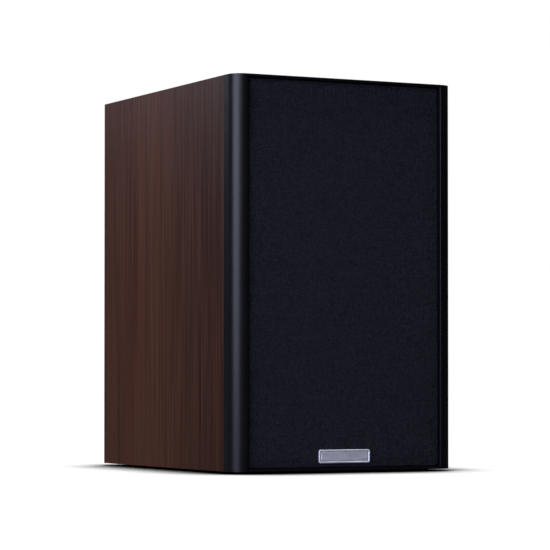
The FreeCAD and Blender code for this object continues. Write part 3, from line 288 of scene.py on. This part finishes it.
def walnut_foil(name, across, along):
    """Printed walnut foil with a satin lacquer: a broad figure, with painted shade in its darker
    strip along the front edge, fine streaks and short dark pores under a soft, even sheen. Across
    and along are the grain's axes, as unit vectors. The pores are drawn 0.8 mm wide, which is
    coarser than real ones, so that they show."""
    material, tree, shader = start_finish(name, ior=1.5, specular_ior_level=0.1)

    def grain(width, length, detail):
        return drawn_noise(tree, [width * a + length * b + (1 - a - b) * THROUGH_THE_FOIL
                                  for a, b in zip(across, along)], detail)

    wander, streaks = grain(60, 300, 2), grain(6, 420, 4)
    lines, pores = grain(1.4, 130, 3), grain(0.8, 14, 2)
    place = node(tree, "ShaderNodeTexCoord", {})
    depth = node(tree, "ShaderNodeSeparateXYZ", {"Vector": place.outputs["Object"]}).outputs["Y"]
    drift = spread(tree, wander, -WANDER * MM, WANDER * MM)
    figured = node(tree, "ShaderNodeMath", {0: depth, 1: drift}, operation="ADD").outputs[0]
    # The darkest stops, at the panels' front edge, are painted shade.
    figure_and_front_shade = ramp(tree, spread(tree, figured, 0, 1, PANEL_FRONT * MM, PANEL_BACK * MM), *FIGURE_WITH_FRONT_SHADE)
    streaked = blended(tree, spread(tree, streaks, 0, 0.6, 0.38, 0.66), figure_and_front_shade, linear("#1c0e09"))
    lined = blended(tree, spread(tree, lines, 0, 0.5, 0.4, 0.7), streaked, linear("#45291c"))
    pored = blended(tree, spread(tree, pores, 0.4, 0, 0.3, 0.42), lined, linear("#1d110d"))
    feed(tree, shader, base_color=pored, roughness=spread(tree, lines, 0.34, 0.44))
    raised(tree, shader, pores, 0.02)
    return material


dress(walnut_foil("walnut_foil_up_the_sides", (0, 1, 0), (0, 0, 1)),
      "left_side_panel", "right_side_panel")
dress(walnut_foil("walnut_foil_across_the_top", (0, 1, 0), (1, 0, 0)), "top_panel", "bottom_panel")

# The patches of a mottled finish are this many times as wide as its grit, and count for this share
# of it. Added together, the two lie between the low and the high value.
PATCH_WIDTH, PATCH_SHARE = 24, 0.35
MOTTLE_LOW, MOTTLE_HIGH = 0.47, 0.88


def mottled(name, dark, light, size, roughness, depth, **plain):
    """A moulded, painted or pressed surface: two close colours in a grit of a size in millimetres
    and wide patches of it, with the grit raised by a depth in millimetres. Most real grits are
    0.1 to 0.3 mm, too fine to show, so the sizes given are two to five times as coarse."""
    material, tree, shader = start_finish(name, **plain)
    grit = drawn_noise(tree, (size, size, size), 3)
    patches = drawn_noise(tree, (size * PATCH_WIDTH,) * 3, 2)
    both = node(tree, "ShaderNodeMath", {0: patches, 1: PATCH_SHARE, 2: grit},
                operation="MULTIPLY_ADD").outputs[0]
    evened = spread(tree, both, 0, 1, MOTTLE_LOW, MOTTLE_HIGH)
    feed(tree, shader, base_color=ramp(tree, evened, (0, dark), (1, light)),
         roughness=spread(tree, evened, *roughness, 0, 1))
    raised(tree, shader, grit, depth)
    return material


# The brace inside is sawn fibreboard: pale brown fibres, quite matt.
dress(mottled("sawn_fibreboard", "#8a6f52", "#a88a68", 1.2, (0.8, 0.95), 0.12), "window_brace")
# The back is fibreboard under matt black foil with a fine leather grain that greys its highlights.
dress(mottled("matt_black_foil", "#101011", "#1a1a1b", 0.9, (0.5, 0.66), 0.06, ior=1.48),
      "rear_panel")

# ------------------------------------------------------------------------------------------------
# Front baffle. Fibreboard milled with rounded edges and a shallow pocket for the grille, then
# sprayed with satin black textured paint, whose fine pebbles break up its highlights.
# ------------------------------------------------------------------------------------------------

# The paint's pebbles are really about 0.3 mm wide, and are drawn coarser so that they show.
PEBBLE = 0.7
dress(mottled("textured_satin_black_paint", "#050507", "#09090c", PEBBLE, (0.3, 0.38), 0.05,
              specular_ior_level=0.16), "front_baffle")

# ------------------------------------------------------------------------------------------------
# Feet. Four moulded rubber discs glued under the bottom panel, dull and slightly dusty.
# ------------------------------------------------------------------------------------------------

dress(mottled("moulded_foot_rubber", "#121212", "#1e1d1c", 0.6, (0.7, 0.9), 0.05), "rubber_feet")

# ------------------------------------------------------------------------------------------------
# Port. A flared tube moulded in black ABS and pressed into the back. The air in it moves with the
# woofer, so its mouth is rounded.
# ------------------------------------------------------------------------------------------------

# ABS from a tool with a fine spark texture: an even charcoal black with a soft, broad sheen.
moulded_abs = mottled("spark_textured_abs", "#0f0f10", "#18181a", 0.5, (0.38, 0.5), 0.03, ior=1.53)
dress(moulded_abs, "port_tube")

# ------------------------------------------------------------------------------------------------
# Crossover. A green glass-fibre board on nylon spacers, with enamelled windings, film capacitors
# and ceramic resistors soldered to it.
# ------------------------------------------------------------------------------------------------


def wound(name, dark, light, pitch, axis, roughness, depth, **plain):
    """Turns lying side by side, or rings left by a tool: bands along x, y or z every so many
    millimetres. Each band's colour is a painted highlight along its middle and painted shade at its
    edges, between two turns."""
    material, tree, shader = start_finish(name, **plain)
    place = node(tree, "ShaderNodeTexCoord", {})
    turns = node(tree, "ShaderNodeTexWave",
                 {"Vector": place.outputs["Object"], "Scale": math.pi / (10 * pitch * MM),
                  "Distortion": 0.4, "Detail": 2, "Detail Scale": 2}, wave_type="BANDS",
                 bands_direction=axis)
    worn = drawn_noise(tree, (5, 5, 5), 3)
    # The band's colour paints a highlight along each turn and shade between two turns.
    painted_turn_highlight_and_gap_shade = blended(tree, spread(tree, worn, 0, 0.4), turns.outputs["Color"], linear("#808080"))
    feed(tree, shader, base_color=ramp(tree, painted_turn_highlight_and_gap_shade, (0.1, dark), (0.8, light)),
         roughness=spread(tree, worn, *roughness))
    raised(tree, shader, turns.outputs["Fac"], depth)
    return material


# Solder mask over glass cloth: deep green, half glossy, with the cloth just showing.
dress(mottled("green_glass_fibre_board", "#0f3a22", "#16492c", 2.5, (0.35, 0.5), 0.02, ior=1.5),
      "crossover_board")
# Turned nylon: milky and waxy, with no sharp highlight.
dress(mottled("turned_nylon", "#cfc9b8", "#e0dccd", 0.8, (0.5, 0.65), 0.02, ior=1.53),
      "crossover_standoffs")
# Zinc plating: a cool, bright grey with slightly cloudy reflections.
zinc_steel = mottled("bright_zinc_on_steel", "#9a9ea2", "#b4b8bb", 1.5, (0.25, 0.42), 0.01,
                     metallic=1)
dress(zinc_steel, "crossover_screws", "post_nuts", "solder_tags")
# Enamelled wire in close turns, with a painted highlight along each turn and painted shade between
# two.
dress(wound("enamelled_copper_wire", "#4a1e0c", "#b5622e", 0.9, "X", (0.22, 0.34), 0.3, metallic=1),
      "inductor_windings")
# Sintered ferrite: dark grey and stony. Polyester film: yellow and glossy, with soft wrinkles. Cast
# ceramic: chalky white and slightly pitted.
dress(mottled("sintered_ferrite_core", "#2a2b2e", "#3a3b3f", 0.8, (0.5, 0.7), 0.05, ior=1.8),
      "inductor_core")
dress(mottled("yellow_polyester_film", "#b98a1c", "#cfa02a", 3, (0.2, 0.32), 0.03, ior=1.57),
      "capacitors")
dress(mottled("cast_white_ceramic", "#c6c1b4", "#dcd8cc", 1.2, (0.6, 0.8), 0.08, ior=1.6),
      "resistors")

# ------------------------------------------------------------------------------------------------
# Terminal cup. A square well moulded in black ABS and screwed to the back, with a red and a black
# binding post: gold-plated studs and washers, and fluted screw caps in glossy moulded ABS.
# ------------------------------------------------------------------------------------------------

dress(moulded_abs, "terminal_cup")
# Black oxide on steel: nearly black, with a dull oily shine.
screw_black = mottled("black_oxide_on_steel", "#141416", "#232327", 0.4, (0.3, 0.45), 0.01,
                      metallic=0.9, specular_ior_level=0.5)
dress(screw_black, "terminal_cup_screws")
# Gold plate on turned brass: warm yellow, and the clearest reflections on the speaker.
gold = mottled("gold_plate_on_brass", "#b98a3a", "#d8ac58", 1.8, (0.16, 0.28), 0.004, metallic=1)
dress(gold, "red_post_stud", "red_post_washer", "black_post_stud", "black_post_washer")
# ABS from a polished tool: even colour under a small, clear highlight.
dress(mottled("moulded_red_abs", "#8e0f12", "#a81519", 0.8, (0.22, 0.32), 0.01, ior=1.54),
      "red_post_cap", "red_post_collar")
dress(mottled("moulded_black_abs", "#0c0c0d", "#151517", 0.8, (0.22, 0.32), 0.01, ior=1.54),
      "black_post_cap", "black_post_collar")

# ------------------------------------------------------------------------------------------------
# Foam. One pad of grey convoluted foam glued inside each side panel, cut with rows of rounded
# peaks on its inner face.
# ------------------------------------------------------------------------------------------------

FOAM_THICK = 20
FOAM_PITCH = 20
FOAM_DIP = 8
# The mesh's step, and how wide and how deep the pad is rounded along its cut edges.
FOAM_STEP = 2.5
FOAM_ROUND = 3
FOAM_ROUND_DEPTH = 1.5
# Open-cell foam: dark grey and quite matt, with cells that show as a soft grain.
foam = mottled("open_cell_grey_foam", "#2c2d30", "#404146", 0.9, (0.85, 1.0), 0.35)
low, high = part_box("foam_pads")


def foam_pad(name, side):
    """One pad: a flat back and sides, and an inner face that waves in two directions."""
    across = round((high.y - low.y) / (FOAM_STEP * MM))
    up = round((high.z - low.z) / (FOAM_STEP * MM))
    back = side * high.x
    corners, faces = [], []
    for layer in ("inner", "outer"):
        for j in range(up + 1):
            for i in range(across + 1):
                y = low.y + (high.y - low.y) * i / across
                z = low.z + (high.z - low.z) * j / up
                edge = min(i, across - i, j, up - j) * FOAM_STEP / FOAM_ROUND
                wave = sum(math.sin(math.pi * along / (FOAM_PITCH * MM)) ** 2
                           for along in (y - low.y, z - low.z)) / 2
                depth = MM * (FOAM_THICK - FOAM_DIP * (1 - wave)
                              - FOAM_ROUND_DEPTH * max(0, 1 - edge))
                corners.append((back - side * depth if layer == "inner" else back, y, z))
    row, sheet_size = across + 1, (across + 1) * (up + 1)
    for j in range(up):
        for i in range(across):
            a = j * row + i
            faces.append((a, a + 1, a + row + 1, a + row))
            faces.append(tuple(sheet_size + k for k in (a + row, a + row + 1, a + 1, a)))
    rim = [*range(across), *(across + j * row for j in range(up))]
    rim += [*(up * row + i for i in range(across, 0, -1)), *(j * row for j in range(up, 0, -1))]
    for a, b in zip(rim, rim[1:] + rim[:1]):
        faces.append((a, sheet_size + a, sheet_size + b, b))
    if side < 0:
        faces = [face[::-1] for face in faces]
    pad = mesh_piece(name, corners, [face[::-1] for face in faces], foam)
    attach(pad, "cabinet")
    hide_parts("foam_pads")


foam_pad("left_foam_pad", -1)
foam_pad("right_foam_pad", 1)

# ------------------------------------------------------------------------------------------------
# Leads inside. Plastic-covered hook-up wire from the posts to the crossover and on to the drivers.
# ------------------------------------------------------------------------------------------------

# Extruded plastic: black and smooth, with one long soft highlight.
dress(mottled("extruded_lead_plastic", "#141414", "#202020", 1.5, (0.35, 0.5), 0.01, ior=1.53),
      "input_leads", "driver_leads")

# ------------------------------------------------------------------------------------------------
# Woofer frame and motor. A pressed steel basket in black powder coat on a foam gasket, with a
# ferrite ring between two zinc-plated steel plates, held to the baffle by four socket screws.
# ------------------------------------------------------------------------------------------------

# Powder coat: black, with the orange-peel grain of the melted powder.
dress(mottled("black_powder_coat", "#131315", "#1d1d20", 0.6, (0.42, 0.58), 0.04), "woofer_basket")
# Closed-cell foam: charcoal, dull and slightly pitted.
dress(mottled("closed_cell_gasket_foam", "#161616", "#242424", 0.7, (0.8, 0.95), 0.1),
      "woofer_gasket", "tweeter_gasket")
dress(screw_black, "woofer_screws", "tweeter_screws")
dress(zinc_steel, "woofer_top_plate", "woofer_pole_yoke", "tweeter_top_plate", "tweeter_pole_yoke",
      "tweeter_terminals")
# Ground ferrite: dark grey stone with a faint satin face.
dress(mottled("ground_ferrite_ring", "#26272a", "#35363a", 1.0, (0.45, 0.62), 0.03, ior=1.8),
      "woofer_magnet", "tweeter_magnet")
# Phenolic board: pressed brown paper, half matt.
dress(mottled("phenolic_fibre_board", "#5a3a20", "#6e4a2b", 1.0, (0.5, 0.65), 0.03),
      "woofer_terminal_strip")

# ------------------------------------------------------------------------------------------------
# Woofer cone. Pressed polypropylene with faint rings from its tool, glued to a wound coil on a
# foil former, with a domed dust cap over the neck.
# ------------------------------------------------------------------------------------------------

WOOFER_AXIS = (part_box("woofer_cone")[0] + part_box("woofer_cone")[1]) / 2
TWEETER_AXIS = (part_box("tweeter_dome")[0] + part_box("tweeter_dome")[1]) / 2


def ringed(name, dark, light, pitch, centre, roughness, depth, **plain):
    """Fine rings about an axis along y through a point, every so many millimetres of radius."""
    material, tree, shader = start_finish(name, **plain)
    place = node(tree, "ShaderNodeTexCoord", {})
    centred = node(tree, "ShaderNodeMapping",
                   {"Vector": place.outputs["Object"], "Location": (-centre.x, 0, -centre.z),
                    "Scale": (1, 0, 1)})
    rings = node(tree, "ShaderNodeTexWave", {"Vector": centred.outputs["Vector"], "Distortion": 0.6,
                                             "Scale": math.pi / (10 * pitch * MM), "Detail": 3,
                                             "Detail Scale": 3},
                 wave_type="RINGS", rings_direction="SPHERICAL")
    grit = drawn_noise(tree, (0.6, 0.6, 0.6), 2)
    tone = blended(tree, spread(tree, grit, 0, 0.7), rings.outputs["Color"], linear("#808080"))
    feed(tree, shader, base_color=ramp(tree, tone, (0, dark), (1, light)),
         roughness=spread(tree, rings.outputs["Fac"], *roughness, 0, 1))
    raised(tree, shader, rings.outputs["Fac"], depth)
    return material


# Pressed polypropylene: near black, with a broad sheen that the tool's rings break up. The rings
# are drawn 1.6 mm apart, about twice as coarse as real ones.
dress(ringed("pressed_polypropylene_cone", "#141417", "#24252a", 1.6, WOOFER_AXIS, (0.34, 0.5),
             0.03, ior=1.49), "woofer_cone")
# The cap is the same plastic from a polished tool, so it has a clearer highlight.
dress(mottled("pressed_polypropylene_cap", "#0f0f12", "#191a1e", 0.7, (0.22, 0.34), 0.01, ior=1.49),
      "woofer_dust_cap")
# Rolled foil: pale and softly bright. The coil on it shows as fine copper lines, drawn 0.5 mm
# apart, twice as coarse as the real wire, each with a painted highlight along it and painted shade
# between two.
dress(mottled("rolled_aluminium_foil", "#b8bbbf", "#d2d5d8", 2, (0.3, 0.45), 0.01, metallic=1),
      "woofer_coil_former")
dress(wound("close_wound_copper_coil", "#5a2a12", "#c07038", 0.5, "Y", (0.2, 0.32), 0.15,
            metallic=1), "woofer_voice_coil", "tweeter_voice_coil")

# ------------------------------------------------------------------------------------------------
# Woofer surround. A half roll of soft black rubber between the cone's rim and the basket. It is two
# rings that meet at the crest. It is
# two rings that meet at the crest, so that each rolls towards its own side as the cone moves.
# ------------------------------------------------------------------------------------------------

# Steps round a turned piece.
TURNS = 128
FRONT_PLANE = cad_box[0].y
# Moulded rubber: soft black, with a wide dull highlight along its roll.
rubber = mottled("soft_moulded_rubber", "#0e0e0f", "#181819", 0.8, (0.48, 0.62), 0.02, ior=1.52)


def turned(name, outline, axis, material):
    """A closed outline of (radius, depth) points in millimetres, turned about an axis along y.
    Depth is measured back from the baffle's front plane."""
    count = len(outline)
    corners, faces = [], []
    for turn in range(TURNS):
        angle = 2 * math.pi * turn / TURNS
        for radius, depth in outline:
            corners.append((axis.x + radius * MM * math.cos(angle), FRONT_PLANE + depth * MM,
                            axis.z + radius * MM * math.sin(angle)))
    for turn in range(TURNS):
        here, there = turn * count, (turn + 1) % TURNS * count
        for k in range(count):
            following = (k + 1) % count
            faces.append((here + k, here + following, there + following, there + k))
    return mesh_piece(name, corners, faces, material)


def half_roll(middle, radius, thickness, seat, start, end, steps=14):
    """Front and back edges of a half roll between two angles, in degrees from the outer side."""
    angles = [math.radians(start + (end - start) * k / steps) for k in range(steps + 1)]
    return [[(middle + reach * math.cos(angle), seat - reach * math.sin(angle)) for angle in angles]
            for reach in (radius + thickness / 2, radius - thickness / 2)]


def surround(driver, axis, material, middle, radius, thickness, seat, inner, outer):
    """A roll between a moving rim and a fixed one, as two rings that meet at the crest."""
    for part, start, end, edge in (("outer", 0, 90, outer), ("inner", 180, 90, inner)):
        front, back = half_roll(middle, radius, thickness, seat, start, end)
        flange = [(edge, seat + thickness / 2), (edge, seat - thickness / 2)]
        ring = turned(f"{driver}_{part}_roll", flange + front + back[::-1], axis, material)
        if part == "outer":
            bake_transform(ring)
        else:
            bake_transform(ring)
        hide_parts(f"{driver}_surround")


surround("woofer", WOOFER_AXIS, rubber,
         middle=56, radius=4, thickness=0.8, seat=12.1, inner=48.5, outer=65.1)

# ------------------------------------------------------------------------------------------------
# Woofer spider. A disc of resin-dipped cotton pressed into ring folds between the former and the
# basket's shelf. Each flank is a ring of its own.
# ------------------------------------------------------------------------------------------------

FLANKS = 8
SPIDER_NECK, SPIDER_SHELF, SPIDER_EDGE = 12.97, 38.1, 41.6
SPIDER_DEPTH, SPIDER_THICK, SPIDER_FOLD = 49.4, 0.6, 1.2


def woven(name, dark, light, thread, roughness, depth, looseness=1.2, fluff_share=1, **plain):
    """Cloth with threads both ways across x and z, a thread spacing in millimetres apart. A loose
    one wanders and is uneven, like knitting, and a fluffy one shows its threads less."""
    material, tree, shader = start_finish(name, **plain)
    place = node(tree, "ShaderNodeTexCoord", {})
    weave = []
    for axis in ("X", "Z"):
        weave.append(node(tree, "ShaderNodeTexWave",
                          {"Vector": place.outputs["Object"], "Scale": math.pi / (10 * thread * MM),
                           "Distortion": looseness, "Detail": 2, "Detail Scale": 1.5},
                          wave_type="BANDS", bands_direction=axis).outputs["Fac"])
    crossed = node(tree, "ShaderNodeMath", {0: weave[0], 1: weave[1]},
                   operation="MULTIPLY").outputs[0]
    fluff = drawn_noise(tree, (thread * 1.5,) * 3, 3)
    raised_fluff = node(tree, "ShaderNodeMath", {0: fluff, 1: fluff_share},
                        operation="MULTIPLY").outputs[0]
    tone = node(tree, "ShaderNodeMath", {0: crossed, 1: raised_fluff}, operation="ADD").outputs[0]
    # Nearly all of the tone lies between these two.
    lowest, highest = 0.4 * fluff_share, 0.2 + fluff_share
    colour = ramp(tree, spread(tree, tone, 0, 1, lowest, highest), (0, dark), (1, light))
    feed(tree, shader, base_color=colour, roughness=spread(tree, fluff, *roughness))
    raised(tree, shader, tone, depth)
    return material


# Cotton dipped in resin: stiff, tan and matt, with its threads showing.
spider_cloth = woven("resin_dipped_cotton", "#8a6426", "#b98d45", 0.8, (0.7, 0.85), 0.15)
pitch = (SPIDER_SHELF - SPIDER_NECK) / FLANKS
for flank in range(FLANKS):
    edges = []
    for k in (flank, flank + 1):
        lift = 0 if k in (0, FLANKS) else SPIDER_FOLD * (1 if k % 2 else -1)
        edges.append((SPIDER_NECK + k * pitch, SPIDER_DEPTH + lift))
    outline = [*edges, *[(radius, depth + SPIDER_THICK) for radius, depth in reversed(edges)]]
    if flank == FLANKS - 1:
        outline[2:2] = [(SPIDER_EDGE, SPIDER_DEPTH), (SPIDER_EDGE, SPIDER_DEPTH + SPIDER_THICK)]
    ring = turned(f"spider_flank_{flank + 1}", outline, WOOFER_AXIS, spider_cloth)
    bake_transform(ring)
    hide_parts("woofer_spider")

# ------------------------------------------------------------------------------------------------
# Tinsel leads. Two flexible braids in a loose loop from the terminal strip to the cone's neck.
# ------------------------------------------------------------------------------------------------

TINSEL_THICKNESS = 1.2
# Across from the woofer's axis, back from the front plane, and up from the axis.
TINSEL_ROUTE = [(12, 40, -52.7), (12, 44.5, -46), (12, 44, -38), (12, 39, -31), (12, 32.2, -25.5)]
# Tinned copper braid: warm grey metal that glitters in short strands.
braid = mottled("tinned_copper_braid", "#8d6a42", "#c39a63", 0.6, (0.3, 0.45), 0.1, metallic=1)


def lead(name, route, thickness, material):
    """A round lead along a smooth line through its route, as a mesh."""
    path = bpy.data.curves.new(name, "CURVE")
    path.dimensions = "3D"
    path.bevel_depth = thickness / 2 * MM
    path.bevel_resolution = 3
    path.use_fill_caps = True
    spline = path.splines.new("NURBS")
    spline.points.add(len(route) - 1)
    for point, place in zip(spline.points, route):
        point.co = (*place, 1)
    spline.order_u = 3
    spline.use_endpoint_u = True
    spline.resolution_u = 8
    drawn = bpy.data.objects.new(name + "_route", path)
    mesh = bpy.data.meshes.new_from_object(drawn)
    bpy.data.objects.remove(drawn)
    mesh.name = name
    mesh.shade_smooth()
    mesh.materials.clear()
    mesh.materials.append(material)
    piece = bpy.data.objects.new(name, mesh)
    bpy.context.scene.collection.objects.link(piece)
    return piece


for side, side_name in ((1, "right"), (-1, "left")):
    route = [Vector((side * x * MM, FRONT_PLANE + depth * MM, WOOFER_AXIS.z + z * MM))
             for x, depth, z in TINSEL_ROUTE]
    tinsel = lead(f"{side_name}_tinsel_lead", route, TINSEL_THICKNESS, braid)
    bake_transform(tinsel)
    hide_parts("woofer_tinsel_leads")

# ------------------------------------------------------------------------------------------------
# Tweeter. A dished ABS faceplate around a coated silk dome, whose thin rim roll is made as two
# rings that meet at the crest, like the woofer's.
# ------------------------------------------------------------------------------------------------

dress(moulded_abs, "tweeter_faceplate")
# Silk with a sticky coating: black, with a faint bloom at its edge. Its threads are drawn 0.5 mm
# apart, several times as coarse as real ones.
silk = woven("coated_silk", "#0d0d0f", "#19191c", 0.5, (0.4, 0.55), 0.03, sheen_weight=0.2)
dress(silk, "tweeter_dome")
surround("tweeter", TWEETER_AXIS, silk,
         middle=14.2, radius=1.1, thickness=0.3, seat=14.35, inner=12.55, outer=19)

# ------------------------------------------------------------------------------------------------
# Grille frame. A moulded frame with a cross rail, its pegs pushed into sockets in the baffle.
# ------------------------------------------------------------------------------------------------

dress(moulded_abs, "grille_frame")
# Moulded nylon: black and slightly waxy.
dress(mottled("moulded_black_nylon", "#121213", "#1c1c1e", 0.6, (0.45, 0.58), 0.02, ior=1.53),
      "grille_pegs", "grille_sockets")

# ------------------------------------------------------------------------------------------------
# Grille cloth. Black knitted polyester stretched over the frame, round its edges and glued down
# as a narrow hem behind.
# ------------------------------------------------------------------------------------------------

CORNER_STEPS = 8
cloth_low, cloth_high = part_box("grille_cloth")
frame_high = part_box("grille_frame")[1]


def rounded_rings(name, half_width, half_height, centre, rings, material, fill_first=False):
    """A surface through rounded rectangles that lie one behind another. Each ring is its inset from
    the outline, its corner radius and its y, in millimetres, and the last one is filled."""
    corners, faces = [], []
    for inset, radius, y in rings:
        w, h = half_width - inset * MM, half_height - inset * MM
        r = radius * MM
        for quarter, (sx, sz) in enumerate(((1, 1), (-1, 1), (-1, -1), (1, -1))):
            for k in range(CORNER_STEPS + 1):
                angle = math.radians(90 * quarter + 90 * k / CORNER_STEPS)
                corners.append((centre.x + sx * (w - r) + r * math.cos(angle), y * MM,
                                centre.z + sz * (h - r) + r * math.sin(angle)))
    count = 4 * (CORNER_STEPS + 1)
    for ring in range(len(rings) - 1):
        for k in range(count):
            a, b = ring * count + k, ring * count + (k + 1) % count
            faces.append((a, b, b + count, a + count))
    faces.append(tuple((len(rings) - 1) * count + k for k in range(count)))
    if fill_first:
        faces.append(tuple(reversed(range(count))))
    return mesh_piece(name, corners, faces, material)


# The knit's real loops are about 0.6 mm apart, and are drawn coarser so that they show.
THREAD = 1.4
CLOTH_SLACK = 0.1
CLOTH_CORNER = 3
# The hem's width, and how far behind the frame it lies.
HEM = 5
HEM_BEHIND = 0.35
# The rounding of the front edge, in steps, over which the corners draw in a little.
EDGE_ROUND = 0.8
EDGE_STEPS = 6
CORNER_DRAWN_IN = 0.2
# How far behind the foremost plane the face lies: at its edge, and at each inset from it.
EDGE_BEHIND = 0.2
FACE_BEHIND = ((12, 0.12), (30, 0.1), (60, 0.1))
front_y, frame_back = cloth_low.y / MM, frame_high.y / MM
edge_y = front_y + EDGE_BEHIND
# Knitted polyester: a cool black that stays dull at every angle, with an uneven, slightly grey nap.
cloth = woven("knitted_black_polyester", "#0e0e13", "#28282e", THREAD, (0.85, 0.95), 0.25,
              looseness=5, fluff_share=2.2, specular_ior_level=0.05)
# From the hem's inner edge, out behind the frame and round onto its side, then forward to the edge.
wrap = [(HEM + 0.6, 1.5, frame_back + HEM_BEHIND), (1.2, 2.2, frame_back + HEM_BEHIND),
        (CLOTH_SLACK, CLOTH_CORNER, frame_back - 0.6),
        (CLOTH_SLACK, CLOTH_CORNER, edge_y + EDGE_ROUND)]
for k in range(1, EDGE_STEPS + 1):
    angle = math.radians(90 * k / EDGE_STEPS)
    wrap.append((CLOTH_SLACK + EDGE_ROUND * (1 - math.cos(angle)),
                 CLOTH_CORNER - CORNER_DRAWN_IN * k / EDGE_STEPS,
                 edge_y + EDGE_ROUND * (1 - math.sin(angle))))
wrap += [(inset, CLOTH_CORNER, front_y + behind) for inset, behind in FACE_BEHIND]
cloth_centre = (cloth_low + cloth_high) / 2
grille_cloth = rounded_rings("stretched_grille_cloth", (cloth_high.x - cloth_low.x) / 2,
                             (cloth_high.z - cloth_low.z) / 2, cloth_centre, wrap, cloth)
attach(grille_cloth, "grille")
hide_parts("grille_cloth")

# ------------------------------------------------------------------------------------------------
# Badge. A blank plate of brushed aluminium with a raised, rounded border, pinned through the
# cloth to the frame's bottom rail.
# ------------------------------------------------------------------------------------------------

badge_low, badge_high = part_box("badge")
BADGE_FRONT = badge_low.y / MM
# Brushed aluminium: silver with long fine lines that draw its highlight out sideways. The lines are
# drawn 0.2 mm apart, two or three times as coarse as real ones.
brushed, brushed_tree, brushed_shader = start_finish("brushed_aluminium_plate", metallic=1)
brush_lines = drawn_noise(brushed_tree, (14, 0.5, 0.22), 3)
brush_patches = drawn_noise(brushed_tree, (9, 9, 4), 2)
feed(brushed_tree, brushed_shader,
     base_color=ramp(brushed_tree, brush_lines, (0.3, "#c6c6ce"), (0.7, "#f0f0f5")),
     roughness=spread(brushed_tree, brush_patches, 0.58, 0.7))
raised(brushed_tree, brushed_shader, brush_lines, 0.02)
# From the back edge, over the rounded border and down to the sunk field: each ring's inset, its
# corner radius, and how far it lies behind the badge's front.
BORDER = ((0, 1.6, 0.9), (0, 1.6, 0.4), (0.1, 1.5, 0.15), (0.4, 1.3, 0), (1.0, 1.0, 0.02),
          (1.3, 0.9, 0.3), (1.55, 0.8, 0.42), (1.85, 0.7, 0.36), (2.1, 0.6, 0.22), (3, 0.5, 0.2))
border = [(inset, radius, BADGE_FRONT + behind) for inset, radius, behind in BORDER]
badge = rounded_rings("brushed_badge", (badge_high.x - badge_low.x) / 2,
                      (badge_high.z - badge_low.z) / 2, (badge_low + badge_high) / 2, border,
                      brushed, fill_first=True)
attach(badge, "grille")
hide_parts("badge")
